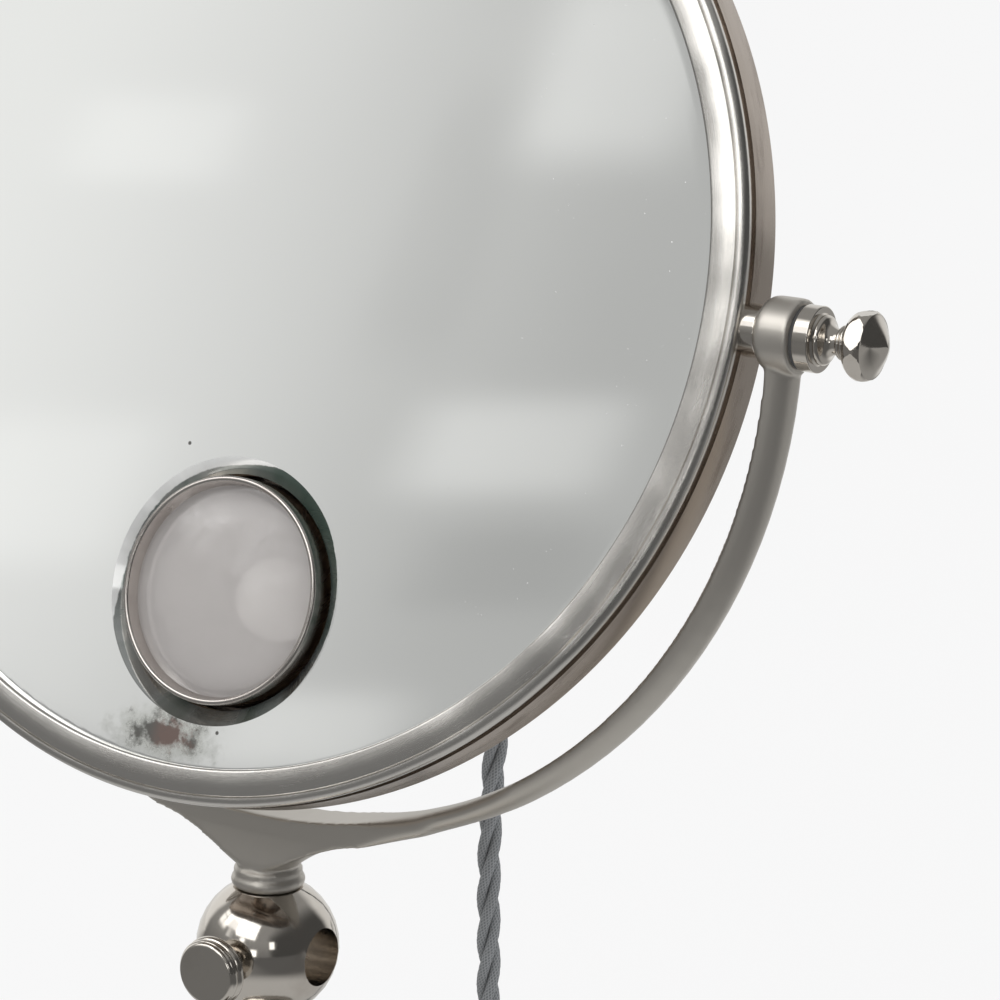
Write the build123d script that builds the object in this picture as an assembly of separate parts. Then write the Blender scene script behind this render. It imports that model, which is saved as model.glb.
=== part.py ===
"""Lighted makeup mirror: a tilting round mirror with a lamp behind a porthole in its glass.

The head hangs in a fork-shaped yoke between two clamp knobs. The yoke swivels on a ball clamp
at the top of a post, and the post stands on a weighted round base. Millimetres, +Z up, front at
-Y, origin at the middle of the base's underside. The head is drawn upright round its pivot
centre, with Y as its own axis, and then leaned back to the angle at which it is kept.
"""
import math
import os

from build123d import *

os.makedirs("parts", exist_ok=True)

# Driving dimensions of the whole
PIVOT_HEIGHT = 424.8          # pivot axis above the table
LEAN = 17.6                   # degrees that the face looks up
BALL_DROP = 192.8             # ball centre below the pivot axis
BALL_R = 20.0
BALL_HEIGHT = PIVOT_HEIGHT - BALL_DROP

# Head: radii, and depths along the head's own axis, front negative
HEAD_R = 145.6                # side wall and rolled edge
SIGHT_R = 135.6               # inner edge of the bezel
GLASS_R = 141.8
BEZEL_FRONT = -9.2
SEAT = -6.6                   # underside of the bezel, where the glass lies
GLASS_T = 5.0
GLASS_SAG = 3.0               # hollow of the slightly magnifying glass
WALL_FRONT = -5.1
GROOVE_BACK = -3.2
WALL_BACK = 8.4
WALL_T = 1.7
SHEET_T = 1.2
BOARD_FRONT = 2.4
BOARD_T = 2.0
COVER_TOP = 11.2              # rear face of the back cover

# Lamp: its axis is parallel to the head's, a little right of the middle
LAMP_X = 7.0
LAMP_Z = -88.3
PORT_R = 36.0                 # outer edge of the glass bevel
PORT_BORE_R = 31.6
PORT_BEVEL = 3.2              # depth of the bevel
TUBE_R = 30.4                 # lamp tube through the porthole
LENS_R = 28.6
LENS_RISE = 7.5
LENS_SEAT = -4.2
CORD_EXIT = 102.0             # where the cord leaves the strain relief

# Pivots, distances along X from the middle
WALL_HOLE_R = 2.6
BOSS_R = 6.8
BOSS_END = 149.7
EYE_START = 149.85
EYE_END = 160.1
EYE_R = 9.6
BUSH_R = 5.0
PIN_R = 3.5
STUD_R = 2.5
RUNNING = 0.05                # radial clearance of a running fit
KNOB_START = 161.05
KNOB_TIP = 183.4

# Yoke
YOKE_IN_R = 152.9
YOKE_BAR = 6.6                # radial thickness of the half-round bar
YOKE_HALF = 6.5               # half its width
NECK_R = 8.35
BORE_R = 8.15                 # empty cross bore of the ball

# Stand
BASE_R = 95.0
BASE_TOP = 34.0
POST_R = 8.0

# Cord: three twisted cores, taken as one tube of their outer diameter
CORD_D = 7.3
COIL_Z = CORD_D / 2 + 1.0     # lower layer, resting on the tie
COIL_STEP = 7.8               # from one turn to the next, and from layer to layer
COIL_R = 49.0                 # outermost turn
COIL_DIP = 1.6                # how far the turn that climbs is drawn in
COIL_TURNS = 2.5              # in each of the two layers

HEAD_PLACE = Pos(0, 0, PIVOT_HEIGHT) * Rot(-LEAN, 0, 0)
LAMP_PLACE = HEAD_PLACE * Pos(LAMP_X, 0, LAMP_Z)
AXES = {"x": Rot(0, 0, -90), "-x": Rot(0, 0, 90), "y": Rot(0, 0, 0), "-y": Rot(0, 0, 180), "z": Rot(90, 0, 0)}


def outline(start, *steps):
    """A closed face. A step is the next corner, or the middle and the end of an arc."""
    edges, here = [], start
    for step in steps:
        if isinstance(step[0], tuple):
            edges.append(ThreePointArc(here, step[0], step[1]))
            here = step[1]
        else:
            edges.append(Line(here, step))
            here = step
    edges.append(Line(here, start))
    return make_face(edges)


def turned(face, axis):
    """A solid of revolution from a profile of (radius, distance along the axis)."""
    return AXES[axis] * revolve(face, Axis.Y)


def rod(radius, start, end, axis):
    """A plain round bar between two places on an axis."""
    return turned(outline((0, start), (radius, start), (radius, end), (0, end)), axis)


def tube(outer, inner, start, end, axis):
    """A plain round tube between two places on an axis."""
    return turned(outline((inner, start), (outer, start), (outer, end), (inner, end)), axis)


def around(radius, angle):
    """A place on a circle in the head's plane, which is X and Z."""
    return radius * math.cos(math.radians(angle)), radius * math.sin(math.radians(angle))


def bowl(sag, radius, r):
    """Height at r, above the rim, of a round bowl or dome that is sag deep and radius wide."""
    curve = (radius ** 2 + sag ** 2) / (2 * sag)
    return sag - curve + math.sqrt(curve ** 2 - r ** 2)


def save(shape, name):
    """Writes one piece, as its solids alone."""
    solids = shape.solids()
    export_step(solids[0] if len(solids) == 1 else Compound(children=list(solids)), f"parts/{name}.step")


def group(pieces):
    """Several like pieces kept together as separate solids."""
    return Compound(children=[solid for piece in pieces for solid in piece.solids()])


# Mirror head: frame, glass and what holds it

COVER_RIM_R = 143.2
COVER_SCREW_R = 140.9
COVER_SCREWS = [30 + 60 * k for k in range(6)]
FLANGE_IN_R = 138.5


def bezel_ring():
    """Front ring: a slightly crowned band, a fine line and a rolled edge, with a skirt inside the wall."""
    band_out = 142.6
    return turned(outline(
        (SIGHT_R, SEAT),
        (SIGHT_R, BEZEL_FRONT + 1.0),
        ((SIGHT_R + 0.3, BEZEL_FRONT + 0.3), (SIGHT_R + 1.0, BEZEL_FRONT)),
        ((139.3, BEZEL_FRONT - 0.15), (band_out, BEZEL_FRONT + 0.5)),
        (band_out + 0.3, BEZEL_FRONT + 1.0),
        (band_out + 0.6, BEZEL_FRONT + 0.5),
        ((145.05, BEZEL_FRONT + 1.15), (HEAD_R, BEZEL_FRONT + 2.6)),
        (HEAD_R - 0.3, WALL_FRONT),
        (HEAD_R - WALL_T, WALL_FRONT),
        (HEAD_R - WALL_T, GROOVE_BACK + 0.4),
        (142.3, GROOVE_BACK + 0.4),
        (142.3, SEAT),
    ), "y")


def drum_shell():
    """Side wall: grooved where it meets the bezel, turned in at the back, with holes for bosses and screws."""
    inner = HEAD_R - WALL_T
    wall = turned(outline(
        (inner, WALL_FRONT),
        (HEAD_R - 0.9, WALL_FRONT),
        (HEAD_R - 0.9, GROOVE_BACK),
        (HEAD_R, GROOVE_BACK),
        (HEAD_R, WALL_BACK - 0.8),
        ((HEAD_R - 0.25, WALL_BACK - 0.25), (HEAD_R - 0.8, WALL_BACK)),
        (FLANGE_IN_R, WALL_BACK),
        (FLANGE_IN_R, WALL_BACK - SHEET_T),
        (inner, WALL_BACK - SHEET_T),
    ), "y")
    wall -= rod(WALL_HOLE_R, -HEAD_R - 5, HEAD_R + 5, "x")
    for angle in COVER_SCREWS:
        x, z = around(COVER_SCREW_R, angle)
        wall -= Pos(x, 0, z) * rod(1.45, 0, 20, "y")
    return wall


def mirror_glass():
    """Thick slightly hollow glass with a bevelled porthole, square to the glass where it is cut."""
    back = SEAT + GLASS_T
    back_r = 134.0
    disc = turned(outline(
        (0, SEAT + GLASS_SAG),
        ((SIGHT_R / 2, SEAT + 0.75 * GLASS_SAG), (SIGHT_R, SEAT)),
        (GLASS_R, SEAT),
        (GLASS_R, back),
        (back_r, back),
        ((back_r / 2, back + 0.75 * GLASS_SAG), (0, back + GLASS_SAG)),
    ), "y")
    port_out = math.hypot(LAMP_X, LAMP_Z)
    slope = math.degrees(2 * GLASS_SAG * port_out / SIGHT_R ** 2)
    widening = (PORT_R - PORT_BORE_R) / PORT_BEVEL
    cutter = turned(outline(
        (0, -4),
        (PORT_R + 4 * widening, -4),
        (PORT_BORE_R, PORT_BEVEL),
        (PORT_BORE_R, 14),
        (0, 14),
    ), "y")
    return disc - Pos(LAMP_X, SEAT + bowl(GLASS_SAG, SIGHT_R, port_out), LAMP_Z) * Rot(-slope, 0, 0) * cutter


def backing_board():
    """Stiff board behind the glass, cut out for the lamp tube."""
    board = tube(GLASS_R - 0.2, 0, BOARD_FRONT, BOARD_FRONT + BOARD_T, "y")
    return board - Pos(LAMP_X, 0, LAMP_Z) * rod(PORT_BORE_R, 0, 10, "y")


def back_cover():
    """Pressed sheet cover: rim on the wall's flange, a channel that holds the board, a raised middle."""
    channel = BOARD_FRONT + BOARD_T
    sheet = outline(
        (0, COVER_TOP),
        (121.6, COVER_TOP),
        (127.2, channel + SHEET_T),
        (135.8, channel + SHEET_T),
        (135.8, WALL_BACK + SHEET_T),
        (COVER_RIM_R, WALL_BACK + SHEET_T),
        (COVER_RIM_R, WALL_BACK),
        (137.0, WALL_BACK),
        (137.0, channel),
        (126.7, channel),
        (121.1, COVER_TOP - SHEET_T),
        (0, COVER_TOP - SHEET_T),
    )
    cover = turned(sheet, "y")
    cover -= Pos(LAMP_X, 0, LAMP_Z) * rod(TUBE_R + 0.3, 0, 20, "y")
    for angle in COVER_SCREWS:
        x, z = around(COVER_SCREW_R, angle)
        cover -= Pos(x, 0, z) * rod(1.45, 0, 20, "y")
    for angle in FLANGE_SCREWS:
        x, z = around(FLANGE_SCREW_R, angle)
        cover -= Pos(LAMP_X + x, 0, LAMP_Z + z) * rod(1.15, 0, 20, "y")
    return cover


def pan_screw(shank_r, head_r, head_h, top, length):
    """Domed screw along Y: its head stands on top, its shank goes in, and a slot crosses the head."""
    body = turned(outline(
        (0, top - length),
        (shank_r, top - length),
        (shank_r, top),
        (head_r, top),
        (head_r, top + head_h * 0.35),
        ((head_r * 0.72, top + head_h * 0.85), (0, top + head_h)),
    ), "y")
    return body - Pos(0, top + head_h, 0) * Box(head_r * 3, head_h * 0.9, head_r * 0.3)


# Lamp behind the porthole

FLANGE_SCREW_R = 35.6
FLANGE_SCREWS = [90, 210, 330]
HOUSING_R = 33.0
HOUSING_NECK_R = 16.5
HOUSING_END = 72.0
SLEEVE_END = -0.5
HOLDER_FACE = 40.0


def lens_ring():
    """Bright ring round the lens: rounded lip, tapered throat and a sleeve inside the lamp tube."""
    return turned(outline(
        (28.2, LENS_SEAT),
        (28.9, -7.4),
        ((29.7, -7.95), (30.5, -7.4)),
        (30.5, -4.6),
        (29.25, -4.6),
        (29.25, SLEEVE_END),
        (LENS_R + 0.05, SLEEVE_END),
        (LENS_R + 0.05, LENS_SEAT),
    ), "y")


def lens_dome():
    """Domed milky lens, 2.4 mm thick, with a thicker rim."""
    edge = LENS_R - 0.5
    inner = 26.4
    inner_rise = LENS_RISE - 0.6
    hollow = LENS_SEAT - LENS_RISE + 2.4
    return turned(outline(
        (0, LENS_SEAT - LENS_RISE),
        ((edge / 2, LENS_SEAT - bowl(LENS_RISE, edge, edge / 2)), (edge, LENS_SEAT)),
        (LENS_R, LENS_SEAT),
        (LENS_R, SLEEVE_END),
        (inner, SLEEVE_END),
        (inner, hollow + inner_rise),
        ((inner / 2, hollow + inner_rise - bowl(inner_rise, inner, inner / 2)), (0, hollow)),
    ), "y")


def lamp_housing():
    """Spun housing: tube through the head, screw flange on the cover, bell that narrows to a neck, air holes."""
    wall = SHEET_T
    bell = turned(outline(
        (TUBE_R - 1.1, -4.6),
        (TUBE_R, -4.6),
        (TUBE_R, COVER_TOP),
        (38.8, COVER_TOP),
        (38.8, COVER_TOP + wall),
        (HOUSING_R, COVER_TOP + wall),
        (HOUSING_R, 24.0),
        ((28.6, 41.0), (HOUSING_NECK_R, 56.0)),
        (HOUSING_NECK_R, HOUSING_END),
        (HOUSING_NECK_R - wall, HOUSING_END),
        (HOUSING_NECK_R - wall, 55.4),
        ((27.5, 40.4), (HOUSING_R - wall, 24.0)),
        (HOUSING_R - wall, COVER_TOP + 2 * wall),
        (TUBE_R - 1.1, COVER_TOP + 2 * wall),
    ), "y")
    for angle in FLANGE_SCREWS:
        x, z = around(FLANGE_SCREW_R, angle)
        bell -= Pos(x, 0, z) * rod(1.15, 0, 20, "y")
    for k in range(4):
        bell -= Rot(0, 45 * k, 0) * Pos(0, 19.5, 0) * rod(2.3, -HOUSING_R - 5, HOUSING_R + 5, "x")
    return bell


def reflector():
    """Thin spun cup behind the lens, open at the back for the bulb."""
    return turned(outline(
        (LENS_R - 1.2, SLEEVE_END),
        (LENS_R + 0.6, SLEEVE_END),
        (LENS_R + 0.6, 0.2),
        (LENS_R - 0.3, 0.2),
        ((25.6, 17.0), (12.5, 34.0)),
        (12.5, HOLDER_FACE),
        (11.9, HOLDER_FACE),
        (11.9, 33.6),
        ((25.0, 16.7), (LENS_R - 1.2, 0.2)),
    ), "y")


def bulb_glass():
    """Small round lamp bulb."""
    return turned(outline(
        (0, 9.5),
        ((8.4, 13.4), (11.4, 21.5)),
        ((10.4, 28.0), (7.6, 34.0)),
        (6.6, 38.0),
        (0, 38.0),
    ), "y")


def bulb_cap():
    """Screw cap of the bulb with its contact."""
    return turned(outline(
        (0, 38.0), (7.0, 38.0), (7.0, 50.5), (5.4, 52.0), (2.4, 52.6), (2.4, 54.0), (0, 54.0),
    ), "y")


def lampholder():
    """Moulded lampholder, bored for the bulb cap, with a collar that fits the housing's neck."""
    return turned(outline(
        (7.4, HOLDER_FACE),
        (12.5, HOLDER_FACE),
        (12.5, 59.0),
        (HOUSING_NECK_R - SHEET_T, 59.0),
        (HOUSING_NECK_R - SHEET_T, 63.0),
        (13.2, 63.0),
        (13.2, 68.0),
        (0, 68.0),
        (0, 54.0),
        (7.4, 54.0),
    ), "y")


def housing_cap():
    """Turned cap that closes the housing's neck and carries the strain relief."""
    return turned(outline(
        (0, 68.0),
        (HOUSING_NECK_R - SHEET_T, 68.0),
        (HOUSING_NECK_R - SHEET_T, HOUSING_END),
        (HOUSING_NECK_R + 0.7, HOUSING_END),
        (HOUSING_NECK_R + 0.7, 75.5),
        ((14.6, 79.4), (8.6, 80.6)),
        (8.0, 82.0),
        (0, 82.0),
    ), "y")


def strain_relief():
    """Tapered rubber sleeve with two grip rings, 20 mm long."""
    return turned(outline(
        (0, 82.0),
        (6.8, 82.0), (6.8, 84.6), (6.1, 85.2), (6.1, 86.6), (6.6, 87.2), (6.5, 89.0),
        (5.7, 89.6), (4.5, CORD_EXIT - 0.6), (4.1, CORD_EXIT), (0, CORD_EXIT),
    ), "y")


# Pivots

def trunnion():
    """Boss on the wall with a pivot pin and a threaded end, pointing to +X; its root is fixed in the wall."""
    boss = turned(outline(
        (0, HEAD_R - 1.0),
        (BOSS_R, HEAD_R - 1.0),
        (BOSS_R, BOSS_END - 0.6),
        (BOSS_R - 0.6, BOSS_END),
        (PIN_R, BOSS_END),
        (PIN_R, KNOB_START + 0.4),
        (STUD_R, KNOB_START + 0.8),
        (STUD_R, 172.0),
        (0, 172.0),
    ), "x")
    boss -= rod(HEAD_R + 0.02, -12, 12, "y")
    return boss + rod(WALL_HOLE_R, HEAD_R - WALL_T - 1.3, HEAD_R + 0.5, "x")


def clamp_knob():
    """Turned knob pointing to +X: flange, beads, hollow neck and a six-sided head with a pointed front."""
    front = 179.6
    body = turned(outline(
        (PIN_R + RUNNING, KNOB_START),
        (8.1, KNOB_START),
        (8.4, KNOB_START + 0.3),
        (8.4, 164.9),
        (8.0, 165.3),
        (6.7, 165.3),
        (6.3, 165.8),
        ((6.25, 166.6), (5.6, 167.2)),
        ((4.0, 168.2), (3.35, 170.4)),
        (3.7, 170.9),
        ((4.4, 171.4), (3.9, 172.0)),
        (4.9, 172.4),
        ((5.3, 172.8), (5.1, 173.2)),
        ((7.9, 174.7), (9.0, 177.0)),
        ((8.95, 178.5), (8.2, front)),
        (7.7, front + 0.1),
        ((4.2, front + 2.3), (0.5, KNOB_TIP)),
        (0, KNOB_TIP),
        (0, 172.6),
        (STUD_R + RUNNING, 172.6),
        (STUD_R + RUNNING, KNOB_START + 0.9),
        (PIN_R + RUNNING, KNOB_START + 0.6),
    ), "x")
    # The head is cut to six flats, which end in curved edges above and below its widest line
    flats = Pos(front - 2.5, 0, 0) * Rot(0, 90, 0) * extrude(RegularPolygon(8.15, 6, major_radius=False), 4.4, both=True)
    sleeve = rod(12, KNOB_START - 1, 173.4, "x")
    nose = rod(12, front, KNOB_TIP + 1, "x")
    return body & (flats + sleeve + nose)


# Yoke and ball

COLLAR_FOOT = 17.5            # above the ball centre
NECK_FOOT = 24.0
SPIGOT_R = 5.0
SPIGOT_FOOT = 9.2
SPIGOT_TOP = 27.0
GRUB_Z = 12.3
GRUB_R = 1.9


def yoke():
    """Cast fork: half-round bar, barrel eyes at its ends, and a flat-faced web flaring out of a beaded neck."""
    inside = YOKE_IN_R - 3
    bar = revolve(outline(
        (inside, -YOKE_HALF), (YOKE_IN_R, -YOKE_HALF),
        ((YOKE_IN_R + YOKE_BAR, 0), (YOKE_IN_R, YOKE_HALF)), (inside, YOKE_HALF),
    ), Axis.Y, 180)
    eye = outline(
        (0, EYE_START),
        (6.6, EYE_START),
        ((8.7, EYE_START + 0.9), (EYE_R, EYE_START + 3.0)),
        (EYE_R, EYE_END - 0.3),
        (EYE_R - 0.3, EYE_END),
        (0, EYE_END),
    )
    neck_z = -BALL_DROP + NECK_FOOT
    flare = turned(outline(
        (0, neck_z),
        (NECK_R, neck_z),
        ((15.0, neck_z + 4.9), (35.6, neck_z + 12.6)),
        (56.0, neck_z + 19.6),
        (56.0, neck_z + 30),
        (0, neck_z + 30),
    ), "z")
    side = Polyline((8.5, neck_z), (8.3, neck_z + 2), (YOKE_HALF, neck_z + 11), (YOKE_HALF, neck_z + 30),
                    (-YOKE_HALF, neck_z + 30), (-YOKE_HALF, neck_z + 11), (-8.3, neck_z + 2), (-8.5, neck_z), close=True)
    web = flare & extrude(Plane.YZ * make_face(side), 56, both=True)
    hoop = bar + web - rod(YOKE_IN_R, -20, 20, "y")
    collar = Pos(0, 0, -BALL_DROP) * turned(outline(
        (0, COLLAR_FOOT),
        (8.9, COLLAR_FOOT),
        (9.5, COLLAR_FOOT + 0.4),
        ((10.4, COLLAR_FOOT + 1.9), (9.7, COLLAR_FOOT + 3.6)),
        (9.1, COLLAR_FOOT + 3.9),
        ((9.75, COLLAR_FOOT + 4.9), (9.1, COLLAR_FOOT + 5.9)),
        (NECK_R, NECK_FOOT),
        (6.0, NECK_FOOT),
        (6.0, NECK_FOOT + 3),
        (0, NECK_FOOT + 3),
    ), "z")
    fork = hoop + turned(eye, "x") + turned(eye, "-x") + collar
    fork -= rod(BUSH_R, -EYE_END - 5, -YOKE_IN_R + 20, "x")
    fork -= rod(BUSH_R, YOKE_IN_R - 20, EYE_END + 5, "x")
    fork -= Pos(0, 0, -BALL_DROP) * rod(4.0, 0, SPIGOT_TOP, "z")
    return Pos(0, 0, PIVOT_HEIGHT) * fork


def swivel_spigot():
    """Pin screwed up into the yoke's neck; it turns in the ball's top and a groove takes the grub screw."""
    return Pos(0, 0, BALL_HEIGHT) * turned(outline(
        (0, SPIGOT_FOOT),
        (SPIGOT_R - 0.4, SPIGOT_FOOT),
        (SPIGOT_R, SPIGOT_FOOT + 0.4),
        (SPIGOT_R, GRUB_Z - 1.6),
        (SPIGOT_R - 0.9, GRUB_Z - 1.6),
        (SPIGOT_R - 0.9, GRUB_Z + 1.6),
        (SPIGOT_R, GRUB_Z + 1.6),
        (SPIGOT_R, COLLAR_FOOT),
        (4.0, COLLAR_FOOT),
        (4.0, SPIGOT_TOP),
        (0, SPIGOT_TOP),
    ), "z")


THUMB_HOLE_R = 3.0
TIE_ROD_R = 4.0


def ball_clamp():
    """Ball with a flat top for the yoke, an empty cross bore, a thumbscrew hole in front, and a foot."""
    ball = Sphere(BALL_R)
    ball &= Pos(0, 0, -1.6) * Box(50, 50, 2 * (COLLAR_FOOT - 0.1 + 1.6))
    ball += turned(outline((0, -24), (9.5, -24), ((10.3, -22.6), (9.5, -21.2)), (8.6, -20.8), (8.6, -16), (0, -16)), "z")
    ball -= rod(BORE_R, -25, 25, "x")
    ball -= rod(SPIGOT_R + RUNNING, SPIGOT_FOOT - 0.25, 30, "z")
    ball -= rod(THUMB_HOLE_R, 0, 25, "-y")
    ball -= Pos(0, 0, GRUB_Z) * rod(GRUB_R + 0.05, 0, 25, "y")
    ball -= rod(TIE_ROD_R, -30, -9.4, "z")
    return Pos(0, 0, BALL_HEIGHT) * ball


def grub_screw():
    """Slotted headless screw in the ball's back that keeps the spigot from lifting out."""
    body = turned(outline((0, 4.4), (1.2, 4.4), (GRUB_R, 5.4), (GRUB_R, 15.0), (0, 15.0)), "y")
    body -= Pos(0, 15.0, 0) * Box(5, 1.6, 0.6)
    return Pos(0, 0, BALL_HEIGHT + GRUB_Z) * body


def thumbscrew():
    """Round-headed screw in the ball's front: plain face, stepped edge and a short neck."""
    return Pos(0, 0, BALL_HEIGHT) * turned(outline(
        (0, 8.8),
        (2.2, 8.8),
        (THUMB_HOLE_R - RUNNING, 9.5),
        (THUMB_HOLE_R - RUNNING, 20.4),
        (4.2, 20.6),
        ((3.7, 22.3), (4.8, 24.3)),
        (8.8, 24.3),
        ((9.6, 24.9), (9.65, 26.4)),
        (9.1, 26.8),
        (9.1, 27.1),
        ((9.5, 27.9), (9.0, 28.8)),
        ((8.5, 29.5), (7.5, 29.7)),
        (0, 29.7),
    ), "-y")


# Stand

SHELL_T = 1.6
WEIGHT_R = 86.0
WEIGHT_TOP = 20.0
PAD_T = 1.6
PLATE_TOP = 5.0
FOOT_RING_TOP = 52.0
POST_FOOT = 40.0
POST_TOP = BALL_HEIGHT - 24.0 - 10.0


def base_shell():
    """Spun cover of the base: rolled rim, step, hollow rise and a flat top."""
    return turned(outline(
        (BASE_R - SHELL_T, PAD_T),
        (BASE_R - 0.6, PAD_T),
        ((BASE_R, 5.2), (BASE_R - 0.8, 8.4)),
        (BASE_R - 3.4, 9.4),
        (BASE_R - 3.4, 11.2),
        ((BASE_R - 5.0, 14.4), (BASE_R - 9.0, 15.4)),
        ((52.0, 20.4), (28.0, BASE_TOP)),
        (7.0, BASE_TOP),
        (7.0, BASE_TOP - SHELL_T),
        (26.8, BASE_TOP - SHELL_T),
        ((51.6, 18.8), (BASE_R - 9.2, 13.8)),
        ((BASE_R - 6.2, 13.0), (BASE_R - 5.0, 11.0)),
        (BASE_R - 5.0, 8.2),
        (BASE_R - SHELL_T, 7.4),
    ), "z")


def base_weight():
    """Cast iron disc with a raised hub under the shell's top."""
    return turned(outline(
        (5.0, PLATE_TOP), (WEIGHT_R, PLATE_TOP), (WEIGHT_R, 11.0), (WEIGHT_R - 3.0, 12.6), (60.0, 14.8), (36.0, WEIGHT_TOP),
        (24.0, BASE_TOP - SHELL_T - 4.0), (20.0, BASE_TOP - SHELL_T), (5.0, BASE_TOP - SHELL_T),
    ), "z")


def base_plate():
    """Bottom disc that carries the weight, with a well for the nut."""
    return tube(BASE_R - SHELL_T - 0.2, 16.0, PAD_T, PLATE_TOP, "z")


def felt_pad():
    """Felt disc under the base."""
    return rod(BASE_R - 2.0, 0.0, PAD_T, "z")


def foot_ring():
    """Turned foot of the post: flange on the base, hollow and bead."""
    return turned(outline(
        (POST_R - 2.5, BASE_TOP),
        (22.0, BASE_TOP),
        ((23.2, BASE_TOP + 1.8), (22.0, BASE_TOP + 3.6)),
        (19.5, BASE_TOP + 4.2),
        ((13.4, BASE_TOP + 7.6), (11.6, BASE_TOP + 14.0)),
        (12.2, BASE_TOP + 14.6),
        ((13.2, BASE_TOP + 16.1), (12.0, FOOT_RING_TOP - 0.4)),
        (10.4, FOOT_RING_TOP),
        (POST_R, FOOT_RING_TOP),
        (POST_R, POST_FOOT),
        (POST_R - 2.5, POST_FOOT),
    ), "z")


def head_ring():
    """Turned ring between the post and the ball's foot."""
    top = BALL_HEIGHT - 24.0
    return turned(outline(
        (TIE_ROD_R + 0.3, top - 8.0),
        (POST_R - 2.0, top - 8.0),
        (POST_R - 2.0, POST_TOP),
        (9.4, POST_TOP),
        ((11.2, POST_TOP + 1.6), (10.0, POST_TOP + 3.4)),
        (9.2, POST_TOP + 4.0),
        ((8.4, POST_TOP + 6.4), (9.2, POST_TOP + 8.6)),
        (9.8, POST_TOP + 9.2),
        (9.8, top),
        (TIE_ROD_R + 0.3, top),
    ), "z")


def base_nut():
    """Flat nut under the base, in the well of the bottom disc."""
    nut = Pos(0, 0, PAD_T + 0.2) * extrude(RegularPolygon(7.5, 6, major_radius=False), PLATE_TOP - PAD_T - 0.2)
    return nut - rod(TIE_ROD_R, -1, 10, "z")


# Cord

def fillet_radii(points):
    """Radius at each corner of a route: 0.45 of the shorter run over the tangent of half the turn."""
    radii = []
    for before, here, after in zip(points, points[1:], points[2:]):
        run_in = Vector(here) - Vector(before)
        run_out = Vector(after) - Vector(here)
        half_turn = math.radians(run_in.get_angle(run_out)) / 2
        radii.append(0.45 * min(run_in.length, run_out.length) / math.tan(half_turn))
    return radii


def cord_tube(name, points):
    """A plain tube along a route of straight runs joined by tangent arcs."""
    radii = fillet_radii(points)
    path = FilletPolyline(*points, radius=radii)
    start = Plane(points[0], z_dir=path.wires()[0] % 0)
    piece = sweep(start * Circle(CORD_D / 2), path=path)
    ideal = math.pi * CORD_D ** 2 / 4 * path.length
    print(name, "length", round(path.length, 1), "radii", [round(r) for r in radii],
          "volume over section times length", round(piece.volume / ideal, 4))
    save(piece, name)


def lamp_point(s):
    """A point on the lamp's axis, in the frame of the whole."""
    return tuple((LAMP_PLACE * Pos(0, s, 0)).position)


CORD_X = LAMP_X
UPPER_ROUTE = [
    lamp_point(CORD_EXIT),
    lamp_point(CORD_EXIT + 16.0),
    (CORD_X, 97.6, 295.8),
    (CORD_X, 105.7, 283.1),
    (CORD_X - 0.3, 108.9, 268.5),
    (CORD_X - 0.5, 106.2, 248.7),
    (CORD_X, 105.0, 220.0),
    (CORD_X + 0.5, 105.8, 186.0),
    (CORD_X + 0.2, 105.0, 150.0),
    (CORD_X, 105.8, 115.0),
]
LOWER_ROUTE = [
    UPPER_ROUTE[-1],
    (CORD_X - 0.16, 106.44, 87.0),
    (CORD_X, 106.5, COIL_Z + 40.3),
    (CORD_X, 114.2, COIL_Z + 21.8),
    (CORD_X, 128.3, COIL_Z + 7.7),
    (CORD_X, 146.8, COIL_Z),
    (CORD_X, 166.8, COIL_Z),
]
COIL_X = CORD_X - COIL_R
COIL_Y = LOWER_ROUTE[-1][1] + CORD_D
TURNS_IN_ALL = 2 * COIL_TURNS + 0.5


def coil_radius(turn):
    """Radius after so many turns: in, level while it climbs, and out again."""
    least = COIL_R - COIL_STEP * COIL_TURNS
    if turn <= COIL_TURNS:
        return COIL_R - COIL_STEP * turn
    if turn <= COIL_TURNS + 0.5:
        return least - COIL_DIP * math.sin(2 * math.pi * (turn - COIL_TURNS))
    return least + COIL_STEP * (turn - COIL_TURNS - 0.5)


def coil_point(turn):
    """Centre line of the cord after so many turns."""
    climb = min(max((turn - COIL_TURNS) / 0.5, 0.0), 1.0)
    rise = COIL_STEP * (1 - math.cos(math.pi * climb)) / 2
    radius, angle = coil_radius(turn), 2 * math.pi * turn
    return Vector(COIL_X + radius * math.cos(angle), COIL_Y + radius * math.sin(angle), COIL_Z + rise)


def coil_way(turn):
    """Direction of the cord after so many turns, level and square to the radius at each half turn."""
    step = 0.01
    if abs(turn * 2 - round(turn * 2)) < 1e-6:
        angle = 2 * math.pi * turn
        return Vector(-math.sin(angle), math.cos(angle), 0)
    return (coil_point(turn + step) - coil_point(turn - step)).normalized()


def coil_end():
    """Where the coil's last straight ends, one diameter past its turns."""
    return coil_point(TURNS_IN_ALL) + coil_way(TURNS_IN_ALL) * CORD_D


def biarc(start, start_way, end, end_way):
    """Two arcs that leave start and reach end in the given directions."""
    across = end - start
    both = start_way + end_way
    lean = 2 * (1 - start_way.dot(end_way))
    along = across.dot(both)
    reach = (-along + math.sqrt(along ** 2 + lean * across.dot(across))) / lean
    meet = (start + start_way * reach + end - end_way * reach) / 2
    first = TangentArc(start, meet, tangent=start_way)
    second = TangentArc(meet, end, tangent=first % 1)
    return [first, second]


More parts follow.
